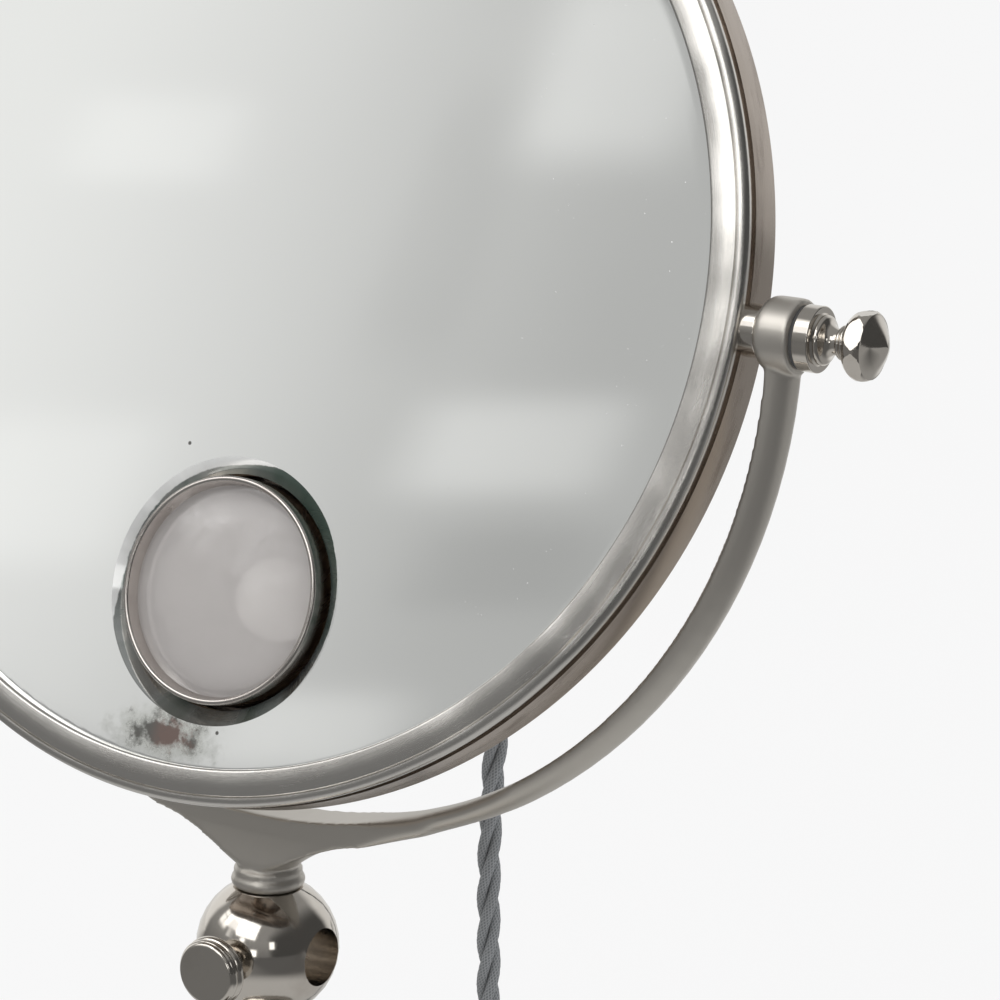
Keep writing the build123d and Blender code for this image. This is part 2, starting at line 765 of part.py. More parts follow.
def cord_coil():
    """The put-away length: one unbroken tube wound in and out again, in two layers."""
    marks = [k / 4 for k in range(round(TURNS_IN_ALL * 4) + 1)]
    runs = [Line(coil_point(0) - coil_way(0) * CORD_D, coil_point(0))]
    for a, b in zip(marks, marks[1:]):
        runs += biarc(coil_point(a), coil_way(a), coil_point(b), coil_way(b))
    runs.append(Line(coil_point(marks[-1]), coil_end()))
    path = Wire(runs)
    piece = sweep(Plane(path @ 0, z_dir=path % 0) * Circle(CORD_D / 2), path=path)
    count = round(path.length / 2.5)
    spots = [path @ (k / count) for k in range(count + 1)]
    apart = round(40 / 2.5)
    gap = min((spots[i] - spots[j]).length for i in range(count) for j in range(i + apart, count)) - CORD_D
    ideal = math.pi * CORD_D ** 2 / 4 * path.length
    print("cord_coil length", round(path.length, 1), "least gap to itself", round(gap, 2),
          "volume over section times length", round(piece.volume / ideal, 4))
    return piece


PLUG_R = 15.0
PLUG_L = 34.0
TAIL_END_Z = PLUG_R + 0.2


def tail_route():
    """From the coil's last turn down to the table and out to the plug, which lies beside the base."""
    end = coil_end()
    return [
        (end.X, end.Y, end.Z),
        (end.X, end.Y - 12.0, end.Z),
        (end.X - 1.5, end.Y - 25.0, end.Z - 3.4),
        (end.X - 6.0, end.Y - 39.0, CORD_D / 2 + 0.7),
        (end.X - 13.0, end.Y - 53.0, CORD_D / 2 + 1.4),
        (end.X - 21.5, end.Y - 66.0, CORD_D / 2 + 5.6),
        (end.X - 30.5, end.Y - 78.0, TAIL_END_Z - 0.3),
        (end.X - 39.0, end.Y - 88.0, TAIL_END_Z),
    ]


def plug_place():
    """The plug's own frame: Y along the cord's last run, away from the cord."""
    before, last = (Vector(*p) for p in tail_route()[-2:])
    way = (last - before).normalized()
    return Plane(last, x_dir=Vector(way.Y, -way.X, 0), z_dir=way)


def plug_body():
    """Round moulded plug: cord grip, domed back, finger groove and flat front."""
    profile = outline(
        (0, 0),
        (5.6, 0), (6.2, 0.8), (6.2, 6.0),
        ((7.7, 8.3), (11.4, 9.2)),
        ((PLUG_R - 0.9, 10.4), (PLUG_R, 13.6)),
        (PLUG_R, 18.0),
        ((PLUG_R - 1.3, 21.0), (PLUG_R, 24.0)),
        (PLUG_R, PLUG_L - 1.0),
        (PLUG_R - 1.0, PLUG_L),
        (0, PLUG_L),
    )
    body = plug_place() * Rot(90, 0, 0) * revolve(profile, Axis.Y)
    return body


def plug_pins():
    """Three round brass pins, the earth pin longer and thicker."""
    pins = []
    for radius, length, x, y in ((2.5, 15.5, -6.4, -3.4), (2.5, 15.5, 6.4, -3.4), (3.5, 19.0, 0.0, 7.6)):
        pin = turned(outline((0, 0), (radius, 0), (radius, length - 1), (radius - 1, length), (0, length)), "z")
        pins.append(plug_place() * Pos(x, y, PLUG_L) * pin)
    return group(pins)


def cord_tie():
    """Flat strap round the coil, seen along the turns as a rounded loop."""
    least = COIL_R - COIL_STEP * COIL_TURNS
    margin, thick, width = 0.25, 0.7, 8.0
    low, high = COIL_Z - CORD_D / 2 - margin, COIL_Z + COIL_STEP + CORD_D / 2 + margin
    inner_r, outer_r = least - CORD_D / 2 - margin, COIL_R + CORD_D / 2 + margin
    middle, height = (inner_r + outer_r) / 2, (low + high) / 2
    hole = RectangleRounded(outer_r - inner_r, high - low, 3.4)
    rim = RectangleRounded(outer_r - inner_r + 2 * thick, high - low + 2 * thick, 3.4 + thick)
    loop = extrude(Plane.XZ * (rim - hole), width / 2, both=True)
    return Pos(COIL_X, COIL_Y, 0) * Rot(0, 0, 135) * Pos(middle, 0, height) * loop


for name, piece in {
    "bezel_ring": bezel_ring(),
    "drum_shell": drum_shell(),
    "mirror_glass": mirror_glass(),
    "glass_packing": tube(GLASS_R - 0.2, 134.6, SEAT + GLASS_T, BOARD_FRONT, "y"),
    "backing_board": backing_board(),
    "back_cover": back_cover(),
}.items():
    save(HEAD_PLACE * piece, name)

save(HEAD_PLACE * group(
    Pos(x, 0, z) * Rot(0, 25 * k, 0) * pan_screw(1.4, 2.3, 1.5, WALL_BACK + SHEET_T, 4.6)
    for k, (x, z) in enumerate(around(COVER_SCREW_R, angle) for angle in COVER_SCREWS)
), "cover_screws")

for name, piece in {
    "lens_ring": lens_ring(),
    "lens_dome": lens_dome(),
    "lamp_housing": lamp_housing(),
    "reflector": reflector(),
    "bulb_glass": bulb_glass(),
    "bulb_cap": bulb_cap(),
    "lampholder": lampholder(),
    "housing_cap": housing_cap(),
    "strain_relief": strain_relief(),
}.items():
    save(LAMP_PLACE * piece, name)

save(LAMP_PLACE * group(
    Pos(x, 0, z) * Rot(0, 40 * k, 0) * pan_screw(1.1, 2.0, 1.2, COVER_TOP + SHEET_T, 3.4)
    for k, (x, z) in enumerate(around(FLANGE_SCREW_R, angle) for angle in FLANGE_SCREWS)
), "housing_screws")

for side, turn in (("right", Rot(0, 0, 0)), ("left", Rot(0, 0, 180))):
    at_pivot = Pos(0, 0, PIVOT_HEIGHT) * turn
    save(HEAD_PLACE * turn * trunnion(), f"trunnion_{side}")
    save(at_pivot * clamp_knob(), f"knob_{side}")
    save(at_pivot * tube(BUSH_R, PIN_R + RUNNING, EYE_START, EYE_END, "x"), f"pivot_bush_{side}")
    save(at_pivot * tube(8.0, PIN_R + 0.1, EYE_END, KNOB_START - 0.05, "x"), f"pivot_washer_{side}")

save(yoke(), "yoke")
save(swivel_spigot(), "swivel_spigot")
save(ball_clamp(), "ball_clamp")
save(grub_screw(), "grub_screw")
save(thumbscrew(), "thumbscrew")
save(base_shell(), "base_shell")
save(base_weight(), "base_weight")
save(base_plate(), "base_plate")
save(felt_pad(), "felt_pad")
save(foot_ring(), "foot_ring")
save(head_ring(), "head_ring")
save(tube(POST_R, POST_R - 2.0, POST_FOOT, POST_TOP, "z"), "post")
save(rod(TIE_ROD_R, PAD_T + 0.2, BALL_HEIGHT - 9.6, "z"), "tie_rod")
save(base_nut(), "base_nut")

cord_tube("cord_upper", UPPER_ROUTE)
cord_tube("cord_lower", LOWER_ROUTE)
save(cord_coil(), "cord_coil")
cord_tube("cord_tail", tail_route())
save(cord_tie(), "cord_tie")
save(plug_body(), "plug_body")
save(plug_pins(), "plug_pins")
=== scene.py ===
"""Looks of a tilting round mirror with a lamp behind a porthole in its glass.

The camera, the room and the cord come first. Then each sub-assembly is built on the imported
model: the mirror head, its lamp, the pivots, the fork, the ball clamp and the stand. The pieces
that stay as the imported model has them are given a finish.
Metres throughout, +Z up, front at -Y, origin at the middle of the base's underside.
"""
from __future__ import annotations

import logging
import math
from dataclasses import dataclass, field
from enum import Enum
from typing import Callable, Sequence, Union

import bmesh
import bpy
from mathutils import Matrix, Vector


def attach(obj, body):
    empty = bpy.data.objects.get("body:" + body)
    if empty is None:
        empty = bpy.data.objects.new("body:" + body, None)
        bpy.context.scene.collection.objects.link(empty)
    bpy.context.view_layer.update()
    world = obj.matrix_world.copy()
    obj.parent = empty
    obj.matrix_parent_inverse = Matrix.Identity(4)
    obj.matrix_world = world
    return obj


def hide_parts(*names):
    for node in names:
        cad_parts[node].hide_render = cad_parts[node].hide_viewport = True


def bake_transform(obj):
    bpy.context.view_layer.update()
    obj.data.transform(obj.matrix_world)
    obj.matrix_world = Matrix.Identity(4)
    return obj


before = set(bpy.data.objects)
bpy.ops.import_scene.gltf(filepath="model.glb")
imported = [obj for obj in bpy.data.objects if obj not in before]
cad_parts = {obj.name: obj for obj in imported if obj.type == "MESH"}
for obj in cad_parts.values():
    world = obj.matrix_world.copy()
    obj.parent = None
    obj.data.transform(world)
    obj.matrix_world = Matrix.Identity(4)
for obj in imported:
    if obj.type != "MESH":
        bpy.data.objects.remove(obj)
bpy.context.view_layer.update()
LOG = logging.getLogger("mirror")

Point = tuple[float, float, float]
Colour = tuple[float, float, float]

PIVOT = Vector((0.0, 0.0, 0.4248))
LEAN = math.radians(17.6)
BALL = Vector((0.0, 0.0, 0.232))
LAMP_X = 0.007
LAMP_Z = -0.0883


# Places

def head_place() -> Matrix:
    """Frame of the mirror head: X along the pivots, Y to its back, Z up its face."""
    return Matrix.Translation(PIVOT) @ Matrix.Rotation(-LEAN, 4, "X")


def lamp_place() -> Matrix:
    """Frame of the lamp, whose axis is parallel to the head's."""
    return head_place() @ Matrix.Translation((LAMP_X, 0.0, LAMP_Z))


class Facing(Enum):
    """Directions in which a turned piece's own axis can be laid."""

    BACK = Matrix.Rotation(math.radians(-90), 4, "X")
    FRONT = Matrix.Rotation(math.radians(90), 4, "X")
    RIGHT = Matrix.Rotation(math.radians(90), 4, "Y")
    LEFT = Matrix.Rotation(math.radians(-90), 4, "Y")


# Modelling

Corner = tuple[float, float]
Step = Union[Corner, tuple[Corner, Corner]]
MM = 0.001
MERGE = 0.000001
CAD_MERGE = 0.000002
BALL_FOOT = 24.0


def outline(start: Corner, *steps: Step) -> list[Corner]:
    """Points of a profile, from millimetres to metres.

    Args:
        start: The first corner, as radius and distance along the axis.
        steps: The next corners. A step of two corners is the middle and the end of an arc.

    Returns:
        The profile's points.
    """
    points = [start]
    for step in steps:
        if not isinstance(step[0], tuple):
            points.append(step)
            continue
        (ax, ay), (bx, by), (cx, cy) = points[-1], step[0], step[1]
        turn = 2 * (ax * (by - cy) + bx * (cy - ay) + cx * (ay - by))
        a, b, c = ax * ax + ay * ay, bx * bx + by * by, cx * cx + cy * cy
        x = (a * (by - cy) + b * (cy - ay) + c * (ay - by)) / turn
        y = (a * (cx - bx) + b * (ax - cx) + c * (bx - ax)) / turn
        radius = math.hypot(ax - x, ay - y)
        first = math.atan2(ay - y, ax - x)
        sweep = math.remainder(math.atan2(by - y, bx - x) - first, 2 * math.pi)
        sweep += math.remainder(math.atan2(cy - y, cx - x) - math.atan2(by - y, bx - x), 2 * math.pi)
        count = max(3, math.ceil(abs(sweep) / math.radians(11)))
        for k in range(1, count + 1):
            angle = first + sweep * k / count
            points.append((x + radius * math.cos(angle), y + radius * math.sin(angle)))
    return [(r * MM, d * MM) for r, d in points]


def whole_mesh(action: str = "SELECT") -> None:
    """Selects or deselects all that is edited."""
    bpy.ops.mesh.select_all(action=action)


def select_where(piece: bpy.types.Object, kind: str, test: Callable) -> None:
    """Selects only those elements of an edited mesh that pass a test.

    Args:
        piece: The piece that is edited.
        kind: "verts", "edges" or "faces".
        test: Tells whether an element is selected.
    """
    whole_mesh("DESELECT")
    mesh = bmesh.from_edit_mesh(piece.data)
    for element in getattr(mesh, kind):
        if test(element):
            element.select = True
    bmesh.update_edit_mesh(piece.data)


def start_piece(name: str, operator: Callable, **settings: object) -> bpy.types.Object:
    """Adds a primitive with nothing else selected.

    Args:
        name: The piece's name.
        operator: The operator that adds it.
        settings: The operator's own settings.

    Returns:
        The new object.
    """
    bpy.ops.object.select_all(action="DESELECT")
    operator(**settings)
    piece = bpy.context.object
    piece.name = name
    return piece


def settle(piece: bpy.types.Object, place: Matrix, sharp: float = 32.0) -> bpy.types.Object:
    """Puts a piece in its place, in its mesh, and smooths its shading.

    Args:
        piece: A piece drawn round the origin.
        place: Where it goes.
        sharp: Angle in degrees above which an edge stays sharp.

    Returns:
        The piece.
    """
    bpy.ops.object.select_all(action="DESELECT")
    piece.select_set(True)
    bpy.context.view_layer.objects.active = piece
    piece.matrix_world = place
    bpy.ops.object.transform_apply(location=True, rotation=True, scale=True)
    bpy.ops.object.shade_smooth_by_angle(angle=math.radians(sharp))
    return piece


def turned(
    name: str, profile: list[Corner], place: Matrix, ring: bool = False, steps: int = 96, sharp: float = 32.0,
) -> bpy.types.Object:
    """Spins a profile round the axis, as on a lathe.

    Args:
        name: The piece's name.
        profile: Radius and distance along the axis, in metres.
        place: The axis's own frame, along its Z.
        ring: True where the profile closes on itself, clear of the axis.
        steps: Faces round the piece.
        sharp: Angle in degrees above which an edge stays sharp.

    Returns:
        The piece.
    """
    piece = start_piece(name, bpy.ops.mesh.primitive_plane_add, size=MM)
    bpy.ops.object.mode_set(mode="EDIT")
    bpy.ops.mesh.select_mode(type="VERT")
    whole_mesh()
    bpy.ops.mesh.merge(type="CENTER")
    bpy.ops.transform.translate(value=(profile[0][0], 0, profile[0][1]))
    for (r0, d0), (r1, d1) in zip(profile, profile[1:] + (profile[:1] if ring else [])):
        bpy.ops.mesh.extrude_vertices_move(TRANSFORM_OT_translate={"value": (r1 - r0, 0, d1 - d0)})
    whole_mesh()
    bpy.ops.mesh.remove_doubles(threshold=MERGE)
    bpy.ops.mesh.spin(steps=steps, angle=2 * math.pi, center=(0, 0, 0), axis=(0, 0, 1))
    whole_mesh()
    bpy.ops.mesh.remove_doubles(threshold=MERGE)
    bpy.ops.mesh.normals_make_consistent(inside=False)
    bpy.ops.object.mode_set(mode="OBJECT")
    return settle(piece, place, sharp)


def cut(piece: bpy.types.Object, cutter: bpy.types.Object) -> None:
    """Cuts one mesh out of another and drops the cutter.

    Args:
        piece: What is cut.
        cutter: The solid that is taken away.
    """
    modifier = piece.modifiers.new("cut", "BOOLEAN")
    modifier.object = cutter
    modifier.operation = "DIFFERENCE"
    modifier.solver = "EXACT"
    bpy.context.view_layer.objects.active = piece
    bpy.ops.object.modifier_apply(modifier="cut")
    bpy.data.objects.remove(cutter)


def copied(node: str, name: str, sharp: float = 28.0) -> bpy.types.Object:
    """Copies a CAD node's mesh and merges it, so that it can be shaded smoothly.

    Args:
        node: The CAD node.
        name: The copy's name.
        sharp: Angle in degrees above which an edge stays sharp.

    Returns:
        The copy.
    """
    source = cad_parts[node]
    piece = bpy.data.objects.new(name, source.data.copy())
    bpy.context.scene.collection.objects.link(piece)
    piece.data.materials.clear()
    bpy.ops.object.select_all(action="DESELECT")
    piece.select_set(True)
    bpy.context.view_layer.objects.active = piece
    bpy.ops.object.mode_set(mode="EDIT")
    whole_mesh()
    bpy.ops.mesh.remove_doubles(threshold=CAD_MERGE)
    bpy.ops.mesh.customdata_custom_splitnormals_clear()
    bpy.ops.object.mode_set(mode="OBJECT")
    bpy.ops.object.shade_smooth_by_angle(angle=math.radians(sharp))
    return piece


def stands_for(
    piece: bpy.types.Object, body: str, finish: Finish, *nodes: str, slot: str,
) -> bpy.types.Object:
    """Dresses a piece, hangs it on its body and lets it stand for CAD nodes.

    Args:
        piece: The piece.
        body: The CAD body that it moves with.
        finish: Its finish.
        nodes: The nodes that it replaces.
        slot: The record's material slot; not used.

    Returns:
        The piece.
    """
    finish.put_on(piece)
    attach(piece, body)
    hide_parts(*nodes)
    LOG.info("%s has %d faces", piece.name, len(piece.data.polygons))
    return piece


# Shader graphs

class Flow:
    """A socket in an expression: each operator adds one Math node."""

    def __init__(self, graph: Graph, socket: bpy.types.NodeSocket) -> None:
        """Wraps a socket of a graph.

        Args:
            graph: The graph that owns the socket.
            socket: The output that carries the value.
        """
        self.graph = graph
        self.socket = socket

    def __add__(self, other: Value) -> Flow:
        """The sum."""
        return self.graph.math("ADD", self, other)

    __radd__ = __add__

    def __sub__(self, other: Value) -> Flow:
        """The difference."""
        return self.graph.math("SUBTRACT", self, other)

    def __rsub__(self, other: Value) -> Flow:
        """The difference from a number."""
        return self.graph.math("SUBTRACT", other, self)

    def __mul__(self, other: Value) -> Flow:
        """The product."""
        return self.graph.math("MULTIPLY", self, other)

    __rmul__ = __mul__

    def __truediv__(self, other: Value) -> Flow:
        """The quotient."""
        return self.graph.math("DIVIDE", self, other)

    def __abs__(self) -> Flow:
        """The size without its sign."""
        return self.graph.math("ABSOLUTE", self)


Value = Union[Flow, float, Colour]


class Graph:
    """The node tree of one finish, or of the world."""

    def __init__(self, tree: bpy.types.NodeTree) -> None:
        """Empties the tree.

        Args:
            tree: The tree to fill.
        """
        self.tree = tree
        tree.nodes.clear()

    def node(self, kind: str, settings: dict | None = None, inputs: dict | None = None) -> bpy.types.Node:
        """Adds a node.

        Args:
            kind: The node's type.
            settings: Its settings, by name.
            inputs: Values or links of its sockets, by name or place.

        Returns:
            The node.
        """
        made = self.tree.nodes.new(kind)
        for name, value in (settings or {}).items():
            setattr(made, name, value)
        for name, value in (inputs or {}).items():
            self.feed(made.inputs[name], value)
        return made

    def feed(self, socket: bpy.types.NodeSocket, value: Value) -> None:
        """Links a flow to a socket, or sets the socket's own value.

        Args:
            socket: The input.
            value: A flow, a number or a colour.
        """
        if isinstance(value, Flow):
            self.tree.links.new(value.socket, socket)
        elif isinstance(value, tuple) and len(value) == 3 and socket.type == "RGBA":
            socket.default_value = (*value, 1.0)
        else:
            socket.default_value = value

    def out(self, node: bpy.types.Node, name: str | int = 0) -> Flow:
        """A node's output as a flow."""
        return Flow(self, node.outputs[name])

    def math(self, operation: str, *values: Value) -> Flow:
        """A Math node on one, two or three values."""
        return self.out(self.node("ShaderNodeMath", {"operation": operation}, dict(enumerate(values))))

    def vector(self, operation: str, *values: Value, output: str = "Vector") -> Flow:
        """A Vector Math node."""
        made = self.node("ShaderNodeVectorMath", {"operation": operation}, dict(enumerate(values)))
        return self.out(made, output)

    def smooth(self, value: Value, low: float, high: float, start: float = 0.0, end: float = 1.0) -> Flow:
        """A soft step of a value.

        Args:
            value: What is stepped.
            low: Where the step starts.
            high: Where it ends.
            start: The result before it.
            end: The result after it.

        Returns:
            The stepped value.
        """
        return self.out(self.node(
            "ShaderNodeMapRange", {"interpolation_type": "SMOOTHSTEP"},
            {"Value": value, "From Min": low, "From Max": high, "To Min": start, "To Max": end},
        ))

    def mix(self, factor: Value, a: Value, b: Value) -> Flow:
        """A mix of two colours."""
        return self.out(self.node("ShaderNodeMix", {"data_type": "RGBA"}, {0: factor, 6: a, 7: b}), 2)

    def noise(self, place: Flow, scale: float, detail: float = 2.0, rough: float = 0.5) -> Flow:
        """Noise between 0 and 1, with a mean of a half."""
        return self.out(self.node(
            "ShaderNodeTexNoise", {"noise_dimensions": "3D"},
            {"Vector": place, "Scale": scale, "Detail": detail, "Roughness": rough},
        ))

    def bump(self, height: Flow, depth: float) -> Flow:
        """A normal from a height, where depth is what a height of one stands for, in metres."""
        inputs = {"Height": height, "Distance": depth, "Strength": 1.0}
        return self.out(self.node("ShaderNodeBump", {}, inputs))

    def place(self, matrix: Matrix | None = None) -> Flow:
        """Object coordinates, in metres, seen from a frame."""
        here = self.out(self.node("ShaderNodeTexCoord"), "Object")
        if matrix is None:
            return here
        return self.out(self.node("ShaderNodeMapping", {"vector_type": "TEXTURE"}, {
            "Vector": here,
            "Location": tuple(matrix.to_translation()),
            "Rotation": tuple(matrix.to_euler()),
        }))

    def split(self, vector: Flow) -> tuple[Flow, Flow, Flow]:
        """A vector's three parts."""
        parts = self.node("ShaderNodeSeparateXYZ", {}, {0: vector})
        return self.out(parts, 0), self.out(parts, 1), self.out(parts, 2)

    def join(self, x: Value, y: Value, z: Value) -> Flow:
        """A vector from three parts."""
        return self.out(self.node("ShaderNodeCombineXYZ", {}, {0: x, 1: y, 2: z}))

    def rings(self, place: Flow, around: float, across: float) -> Flow:
        """Coordinates drawn out round the Y axis, for turned and brushed work.

        Args:
            place: Coordinates in the frame of the axis.
            around: Waves of detail round the axis.
            across: Waves of detail per metre across the marks.

        Returns:
            The coordinates.
        """
        x, y, z = self.split(place)
        far = self.math("SQRT", x * x + z * z)
        return self.join(x / far * around, z / far * around, (far + y * 0.7) * across)


def empty_material(name: str) -> tuple[bpy.types.Material, Graph]:
    """A new material and its empty graph."""
    material = bpy.data.materials.new(name)
    material.use_nodes = True
    return material, Graph(material.node_tree)


@dataclass(frozen=True)
class Finish:
    """A surface finish, made once and put on any number of pieces."""

    name: str

    def make(self) -> bpy.types.Material:
        """Builds the material, or finds it if it is there.

        Returns:
            The material.
        """
        found = bpy.data.materials.get(self.name)
        if found is not None:
            return found
        material, graph = empty_material(self.name)
        surface = graph.node("ShaderNodeBsdfPrincipled")
        graph.node("ShaderNodeOutputMaterial", {}, {"Surface": graph.out(surface)})
        for socket, value in self.dress(graph).items():
            graph.feed(surface.inputs[socket], value)
        return material

    def dress(self, graph: Graph) -> dict[str, Value]:
        """The shader's inputs; each finish gives its own.

        Args:
            graph: The graph to build in.

        Returns:
            Values or flows by the shader's socket names.
        """
        raise NotImplementedError

    def put_on(self, *pieces: bpy.types.Object) -> None:
        """Gives the finish to pieces.

        Args:
            pieces: Meshes, whose slots are all set.
        """
        for piece in pieces:
            if not piece.data.materials:
                piece.data.materials.append(self.make())
            for k in range(len(piece.data.materials)):
                piece.data.materials[k] = self.make()


@dataclass(frozen=True)
class Polished(Finish):
    """Polished nickel with faint wiping marks, dull patches and small dark pits."""

    name: str = "polished_nickel"
    colour: Colour = (0.66, 0.62, 0.57)
    dull: Colour = (0.42, 0.36, 0.31)
    gloss: float = 0.07
    wear: float = 0.4

    def dress(self, graph: Graph) -> dict[str, Value]:
        """Nickel over slow patches, with fine scratches in the normal."""
        here = graph.place()
        patches = graph.noise(here, 38.0, 5.0, 0.6)
        worn = graph.smooth(patches, 0.48, 0.75) * self.wear
        pits = graph.smooth(graph.noise(here, 1500.0, 3.0, 0.7), 0.70, 0.78)
        scratch = graph.noise(graph.vector("MULTIPLY", here, (300.0, 300.0, 4200.0)), 1.0, 3.0, 0.6)
        return {
            "Base Color": graph.mix(pits * 0.6, graph.mix(worn, self.colour, self.dull), (0.12, 0.10, 0.08)),
            "Metallic": 1.0,
            "Roughness": worn * 0.45 + self.gloss + graph.noise(here, 210.0, 3.0, 0.6) * 0.06,
            "Normal": graph.bump(scratch, 0.000002),
        }


@dataclass(frozen=True)
class Brushed(Finish):
    """Nickel brushed round the head's axis."""

    name: str = "brushed_nickel"
    colour: Colour = (0.70, 0.68, 0.65)
    dark: Colour = (0.42, 0.38, 0.34)
    gloss: float = 0.14
    depth: float = 0.00003
    stain: float = 0.25
    wavy: float = 0.0022

    def dress(self, graph: Graph) -> dict[str, Value]:
        """Fine marks that run round the rim, with slow stains."""
        here = graph.place(head_place())
        drawn = graph.rings(here, 9.0, 7000.0)
        marks = graph.noise(drawn, 1.0, 4.0, 0.7)
        waves = graph.rings(here, 4.5, 18.0)
        hand = graph.noise(waves, 1.0, 1.0, 0.4)
        slow = graph.rings(here, 5.0, 260.0)
        stain = graph.smooth(graph.noise(slow, 1.0, 4.0, 0.6), 0.5, 0.78)
        darker = stain * self.stain + graph.smooth(marks, 0.35, 0.8) * 0.12
        return {
            "Base Color": graph.mix(darker, self.colour, self.dark),
            "Metallic": 1.0,
            "Roughness": marks * 0.16 + self.gloss + stain * 0.12,
            "Normal": graph.bump(marks * self.depth + hand * self.wavy, 1.0),
        }


@dataclass(frozen=True)
class Plain(Finish):
    """A small part's finish: one colour with grain, and a little relief."""

    colour: Colour = (0.5, 0.5, 0.5)
    dark: Colour = (0.4, 0.4, 0.4)
    metallic: float = 0.0
    gloss: float = 0.5
    grain: float = 600.0
    depth: float = 0.00001

    def dress(self, graph: Graph) -> dict[str, Value]:
        """Grain in the colour, the roughness and the normal."""
        here = graph.place()
        grain = graph.noise(here, self.grain, 4.0, 0.6)
        return {
            "Base Color": graph.mix(graph.smooth(grain, 0.3, 0.75), self.colour, self.dark),
            "Metallic": self.metallic,
            "Roughness": grain * 0.2 + self.gloss,
            "Normal": graph.bump(grain, self.depth),
        }


# Camera, room and light

def bearing(azimuth: float, elevation: float) -> Vector:
    """A direction from angles in degrees: azimuth 0 is the front, 90 the right."""
    a, e = math.radians(azimuth), math.radians(elevation)
    return Vector((math.sin(a) * math.cos(e), -math.cos(a) * math.cos(e), math.sin(e)))


@dataclass(frozen=True)
class Viewpoint:
    """Where the picture is taken from, as angles in degrees round the point that it is aimed at."""

    azimuth: float = 31.7
    elevation: float = 13.9
    roll: float = 1.2
    distance: float = 1.0422
    aim: Vector = field(default_factory=lambda: Vector((0.0731, 0.0, 0.3705)))
    lens: float = 143.56

    def make(self) -> bpy.types.Object:
        """Adds the scene's camera.

        Returns:
            The camera.
        """
        back = bearing(self.azimuth, self.elevation)
        roll = math.radians(self.roll)
        level = back.cross(Vector((0, 0, -1))).normalized()
        upright = back.cross(level)
        right = level * math.cos(roll) + upright * math.sin(roll)
        up = upright * math.cos(roll) - level * math.sin(roll)
        data = bpy.data.cameras.new("camera")
        data.lens = self.lens
        data.sensor_width = 36.0
        data.clip_start = 0.05
        data.clip_end = 60.0
        camera = bpy.data.objects.new("camera", data)
        turn = Matrix((right, up, back)).transposed().to_4x4()
        camera.matrix_world = Matrix.Translation(self.aim + back * self.distance) @ turn
        bpy.context.scene.collection.objects.link(camera)
        bpy.context.scene.camera = camera
        return camera


@dataclass(frozen=True)
class Window:
    """A bright or dark field in the room that polished metal mirrors."""

    azimuth: float
    elevation: float
    width: float
    height: float
    soft: float
    level: float
    bars: float = 0.0

    def lay(self, graph: Graph, ray: Flow, behind: Flow) -> Flow:
        """Puts the window over what is behind it.

        Args:
            graph: The world's graph.
            ray: The direction looked in.
            behind: The grey level so far.

        Returns:
            The grey level with the window.
        """
        axis = bearing(self.azimuth, self.elevation)
        side = axis.cross(Vector((0, 0, 1))).normalized()
        over = side.cross(axis)
        deep = graph.vector("DOT_PRODUCT", ray, tuple(axis), output="Value")
        away = graph.math("MAXIMUM", deep, 0.05)
        x = graph.vector("DOT_PRODUCT", ray, tuple(side), output="Value") / away
        y = graph.vector("DOT_PRODUCT", ray, tuple(over), output="Value") / away
        inside = (
            graph.smooth(abs(x), self.width / 2 - self.soft, self.width / 2 + self.soft, 1.0, 0.0)
            * graph.smooth(abs(y), self.height / 2 - self.soft, self.height / 2 + self.soft, 1.0, 0.0)
            * graph.smooth(deep, 0.05, 0.12)
        )
        if self.bars:
            for line in (x, y):
                across = graph.math("PINGPONG", line + 9.0, self.bars / 2)
                inside = inside * graph.smooth(across, self.bars * 0.04, self.bars * 0.09, 0.35, 1.0)
        return behind + (self.level - behind) * inside


WINDOWS = (
    Window(98, 10, 3.2, 1.5, 0.35, 0.07),
    Window(192, 12, 1.4, 0.9, 0.25, 0.80),
    Window(-118, 12, 0.9, 0.9, 0.12, 0.95),
    Window(-62, 33, 0.36, 0.42, 0.05, 1.7, 0.20),
    Window(-42, 52, 0.40, 0.36, 0.05, 1.3),
    Window(-6, 38, 0.62, 0.46, 0.012, 2.4, 0.125),
    Window(-10, 21, 0.14, 0.10, 0.03, 2.2),
    Window(42, 17, 0.14, 0.20, 0.012, 1.9),
    Window(12, 4, 0.17, 0.17, 0.012, 2.4),
)


# Soft shapes on the wall panel: middle and half size in metres, and how much lighter they are
PATCHES = (
    ((0.058, 0.052), (0.026, 0.022), 0.09),
    ((-0.098, -0.030), (0.036, 0.026), 0.20),
    ((-0.085, 0.160), (0.030, 0.050), 0.20),
    ((0.045, -0.125), (0.030, 0.040), 0.09),
    ((-0.075, -0.190), (0.030, 0.020), 0.18),
    ((-0.115, -0.085), (0.035, 0.022), -0.06),
    ((-0.045, 0.060), (0.016, 0.070), -0.05),
)


